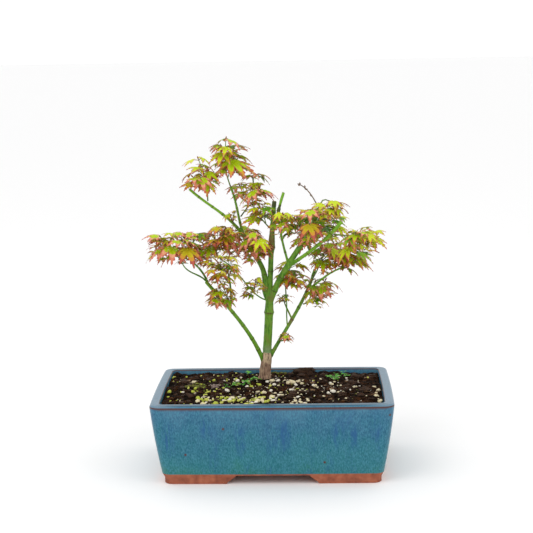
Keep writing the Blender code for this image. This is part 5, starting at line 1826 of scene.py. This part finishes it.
# %% [markdown]
# A maple's leaf is a hand of five or seven lobes. Each lobe is a long pointed blade with
# saw teeth, folded along its midrib, and in spring it hangs from the top of its stalk like
# a wet umbrella. One template is worked out for each number of lobes and each of a few
# moods, and then set in place hundreds of times as part of one mesh. The teeth are faces of
# their own, so that the margin can be redder than the blade.

# %% Leaf templates
LOBE_STATIONS = ((0.22, 1.0), (0.47, 0.80), (0.73, 0.38))  # share of a lobe, share of its width
LOBE_WIDTH = 0.128  # half the width of a lobe, as a share of the blade's length
LOBE_TEETH = 0.085  # how far the teeth stand out, as a share of the lobe
LOBE_FOLD = 0.30  # how steeply a lobe's halves rise from its midrib
RIB_LEAD = 0.09  # how far the green reaches ahead along the midrib
TIP_CURL = 0.05  # how much further than its middle a lobe's tip hangs
LEAF_MOODS = 5  # templates for each number of lobes
HEART, BLADE, TURN, TIP, MARGIN = range(5)


def lobe_half(angle, reach, notch, width, side, rng):
    """Half a lobe, flat: the outer corners of its blade, and the tips of its teeth."""
    ahead = Vector((math.cos(angle), math.sin(angle)))
    out = Vector((-math.sin(angle), math.cos(angle))) * side
    start = max(notch.dot(ahead), 0.1 * reach)
    edge = [ahead * (start + (reach - start) * share) + out * width * wide * rng.uniform(0.93, 1.07)
            for share, wide in LOBE_STATIONS]
    corners = [notch] + edge + [ahead * reach]
    teeth = [low.lerp(high, 0.6) + (out + ahead * 0.7) * LOBE_TEETH * reach * big
             for low, high, big in zip(corners, corners[1:], (1, 1, 0.8, 0.35))]
    return edge, teeth


def leaf_template(lobes, mood):
    """Points, faces and face zones of one leaf of unit size, its stalk at the origin."""
    rng = random.Random(100 * lobes + mood)
    tips = [(math.radians(angle + rng.uniform(-4, 4)), reach * rng.uniform(0.93, 1.0))
            for angle, reach in lobe_tips(lobes)]
    shaded_cracks = [(math.radians(-150), 0.10)]
    shaded_cracks += [((one[0] + two[0]) / 2, 0.40 * NOTCH * (one[1] + two[1]))
             for one, two in zip(tips, tips[1:])]
    shaded_cracks += [(math.radians(150), 0.10)]
    shaped, faces, zones = [(0.0, 0.0, 0.0)], [], []

    def add(point, rise=0.0, curl=0.0):
        """Stores a flat point, bent down by the leaf's cup and its lobe's curl."""
        drop = CUP * point.length ** 2 + TIP_CURL * curl * point.length ** 3
        shaped.append((point.x, point.y, rise - drop))
        return len(shaped) - 1

    places = [Vector((math.cos(angle), math.sin(angle))) * depth for angle, depth in shaded_cracks]
    notches = [add(place, 0.035) for place in places]
    for index, (angle, reach) in enumerate(tips):
        ahead = Vector((math.cos(angle), math.sin(angle)))
        width = LOBE_WIDTH * (0.5 + 0.5 * reach) * rng.uniform(0.9, 1.1)
        rise = LOBE_FOLD * width
        curl = rng.uniform(0.4, 1.5)
        tip = add(ahead * reach, 0, curl)
        for side in (-1, 1):
            notch = notches[index + (side > 0)]
            edge, teeth = lobe_half(angle, reach, places[index + (side > 0)], width, side, rng)
            rib, rim = [0], [notch]
            for point, (share, wide) in zip(edge, LOBE_STATIONS):
                bend = curl * (point.dot(ahead) / reach) ** 2
                rib.append(add(ahead * (point.dot(ahead) + RIB_LEAD * share * reach), 0, bend))
                rim.append(add(point, rise * wide, bend))
            rib.append(tip)
            rim.append(tip)
            for step, (zone, tooth) in enumerate(zip((HEART, BLADE, TURN, TIP), teeth)):
                blade = [rib[step], rib[step + 1], rim[step + 1], rim[step]]
                if step == 3:
                    blade.pop(1)
                saw = [rim[step], rim[step + 1], add(tooth, rise * 0.8, curl * step / 4)]
                for corners, colour in ((blade, zone), (saw, MARGIN)):
                    faces.append(tuple(corners if side > 0 else reversed(corners)))
                    zones.append(colour)
    return np.array(shaped), faces, zones


templates = {lobes: [leaf_template(lobes, mood) for mood in range(LEAF_MOODS)] for lobes in LOBES}
print("a seven-lobed leaf has", len(templates[7][0][1]), "faces")

# %% [markdown]
# Young maple leaves are a plain soft green that turns salmon and brick red towards tips and margins,
# the redder the younger they are. Some tones are also lighter or darker copies of that green: painted
# sunlight on leaves in the sun, and painted shade on leaves in the shade. Each tone is five plain
# colours, for a leaf's heart, its blade, the turn to red, tips and margin. Each spray draws its leaves'
# tones by its own odds, and young leaves are the redder ones.

# %% Leaf colours
# A leaf is a waxy skin over soft tissue: IOR about 1.45 and a satin gloss with fine veins.
# The darkest green is painted shade and the lightest greens are painted sunlight; the reds are the
# leaves' own.
LEAF_COLOURS = {
    "deep_green": "54880A", "mid_green": "7EAC0C", "fresh_green": "AEC80E",
    "lime_green": "C4D61A", "pale_lime": "D2DA44", "olive": "929A10", "mustard": "C0B21A",
    "tan": "C8902E", "pale_salmon": "E0A078", "salmon": "CE7C62", "brick": "B25644",
    "maroon": "8E442C",
}
leaf_skins = []
for name, tone in LEAF_COLOURS.items():
    skin, shader, place = new_material("leaf_" + name, tone, 0.5)
    veins = add_node(skin, "TexNoise", {"Vector": place, "Scale": 1 / (1.2 * MM), "Detail": 1.0})
    bump = add_node(skin, "Bump", {"Height": veins, "Distance": 0.2 * MM})
    fill(skin, shader, {"Normal": bump, "Specular IOR Level": 0.25})
    leaf_skins.append(skin)
colour_slot = {name: index for index, name in enumerate(LEAF_COLOURS)}
print(len(leaf_skins), "plain colours of leaf")

# %% Tones of the sprays
TONES = {  # heart, blade, the turn of colour, tip and margin
    # Painted shade: the green darkened, for leaves in the shade.
    "deep": ("deep_green", "mid_green", "mid_green", "olive", "maroon"),
    "green": ("mid_green", "mid_green", "olive", "tan", "brick"),
    # Painted sunlight: this tone and the next two are the green lightened, for leaves in the sun.
    "fresh": ("fresh_green", "fresh_green", "tan", "salmon", "brick"),
    "lime": ("lime_green", "lime_green", "mustard", "pale_salmon", "brick"),
    "pale": ("pale_lime", "pale_lime", "mustard", "pale_salmon", "salmon"),
    "red": ("mustard", "tan", "brick", "brick", "maroon"),
    "rosy": ("fresh_green", "pale_salmon", "salmon", "salmon", "brick"),
}
TONE_ODDS = {"deep": 1, "green": 2, "fresh": 3, "lime": 2.2, "pale": 0.8, "red": 2.8,
             "rosy": 3.2}
YOUNG_ODDS = {"deep": 0.6, "green": 1, "fresh": 2.2, "lime": 1.4, "pale": 1, "red": 4,
              "rosy": 3.6}
FAVOURITES = {  # sprays that lean to one tone: sunlit, shaded or just opened
    "right_front": "pale", "right_crest": "lime", "far_right_top": "lime",
    "far_right_low": "fresh", "leader_left": "fresh", "crown_middle": "rosy",
    "centre_left": "rosy", "left_middle": "red", "far_left": "rosy", "right_middle": "green",
    "right_rear": "deep", "right_low": "red", "low_right_tuft": "red", "right_skirt": "fresh",
}
FAVOUR = 7  # how many times likelier its favourite tone is
print("tones of the leaves:", ", ".join(TONES))

# %% [markdown]
# Every leaf takes a template, a tone, and the place and size at which its simple solid was
# tried. Its stalk is a thin tube that arches a little, and every stem and twig is a tube
# with a pointed bud at its end. All of them are collected as plain arrays, because thousands
# of small objects would be slow.

# %% Leaves, stalks and twigs set in place
LEAF_LIFT = 25  # degrees that a live blade hangs less than the tried one
LEAF_GROWTH = 1.10  # how much larger it is than the solid that was tried
STALK_ARCH = 0.12  # how high a stalk arches, as a share of its length
STALK_RADII = (0.5, 0.4, 0.36, 0.36, 0.42)  # mm, from the twig to the blade
YOUNG_STALK = 0.75  # how thick a young leaf's stalk is beside the others
BUD_STATIONS = ((-0.5, 0.9), (2.5, 1.9), (5, 1.5), (8, 0.3))  # along and across, in radii

leaf_shapes, stalk_shapes, stem_shapes = [], [], []
for spray in sprays:
    rng = random.Random(spray.name)
    moods = [rng.uniform(0.3, 1.7) * (FAVOUR if FAVOURITES.get(spray.name) == tone else 1)
             for tone in TONES]
    for set_of_leaves, odds in ((spray.leaves, TONE_ODDS), (spray.young, YOUNG_ODDS)):
        weights = [odds[tone] * mood for tone, mood in zip(TONES, moods)]
        for place, size, lobes, root in set_of_leaves:
            points, faces, zones = rng.choice(templates[lobes])
            tone = TONES[rng.choices(list(TONES), weights)[0]]
            turn = np.array(place.to_3x3() @ Matrix.Rotation(math.radians(-LEAF_LIFT), 3, "Y"))
            points = (points * size * LEAF_GROWTH) @ turn.T + np.array(place.translation)
            leaf_shapes.append((points, faces, [colour_slot[tone[zone]] for zone in zones]))
            base = place.translation
            middle = (base + root) / 2 + UP * (base - root).length * STALK_ARCH
            radii = np.array(STALK_RADII) * MM * (1 if odds is TONE_ODDS else YOUNG_STALK)
            stalk_shapes.append((*tube(bow(root, middle, base, 4), radii, 5), 0))
    for points, radii in spray.stems + spray.twigs:
        fine = [points[0]]
        for one, two in zip(points, points[1:]):
            fine += [one.lerp(two, 0.5), two]
        sizes = np.interp(np.linspace(0, 1, len(fine)), np.linspace(0, 1, len(radii)), radii)
        stem_shapes.append((*tube(fine, sizes, 7), 0))
        ahead = (points[-1] - points[-2]).normalized()
        bud = [points[-1] + ahead * reach * sizes[-1] for reach, _ in BUD_STATIONS]
        stalk_shapes.append((*tube(bud, [sizes[-1] * wide for _, wide in BUD_STATIONS], 6), 0))
print(len(leaf_shapes), "leaves and", len(stem_shapes), "stems and twigs")

# %% [markdown]
# Leaf stalks are red where the sun reaches them and green in the shade, and the fine twigs
# are the green of the young bark with a brown cast, so both take their colour from a soft
# noise that drifts through the crown. Every twig ends in a pointed red bud, which is made
# like a stalk and joined with them.

# %% Stalks and fine twigs
# Living stalks and twigs: IOR about 1.45 with a satin skin.
stalk_skin, twig_skin = (
    mottled_skin(name, light, 0.5, size, ((0.4, dark), (0.62, light)))[0]
    for name, size, dark, light in (("leaf_stalk_red_brown", 9, "7A3A22", "94682E"),
                                    ("maple_twig_green_young", 14, "4A5E1E", "6C8A30")))
finish_piece(join_shapes("leaves", leaf_shapes, leaf_skins), "leaves", *SPRAYS, smooth=False)
finish_piece(join_shapes("leaf_stalks", stalk_shapes, [stalk_skin]), "leaves", *SPRAYS)
finish_piece(join_shapes("spray_twigs", stem_shapes, [twig_skin]), "green_bark", *SPRAYS)
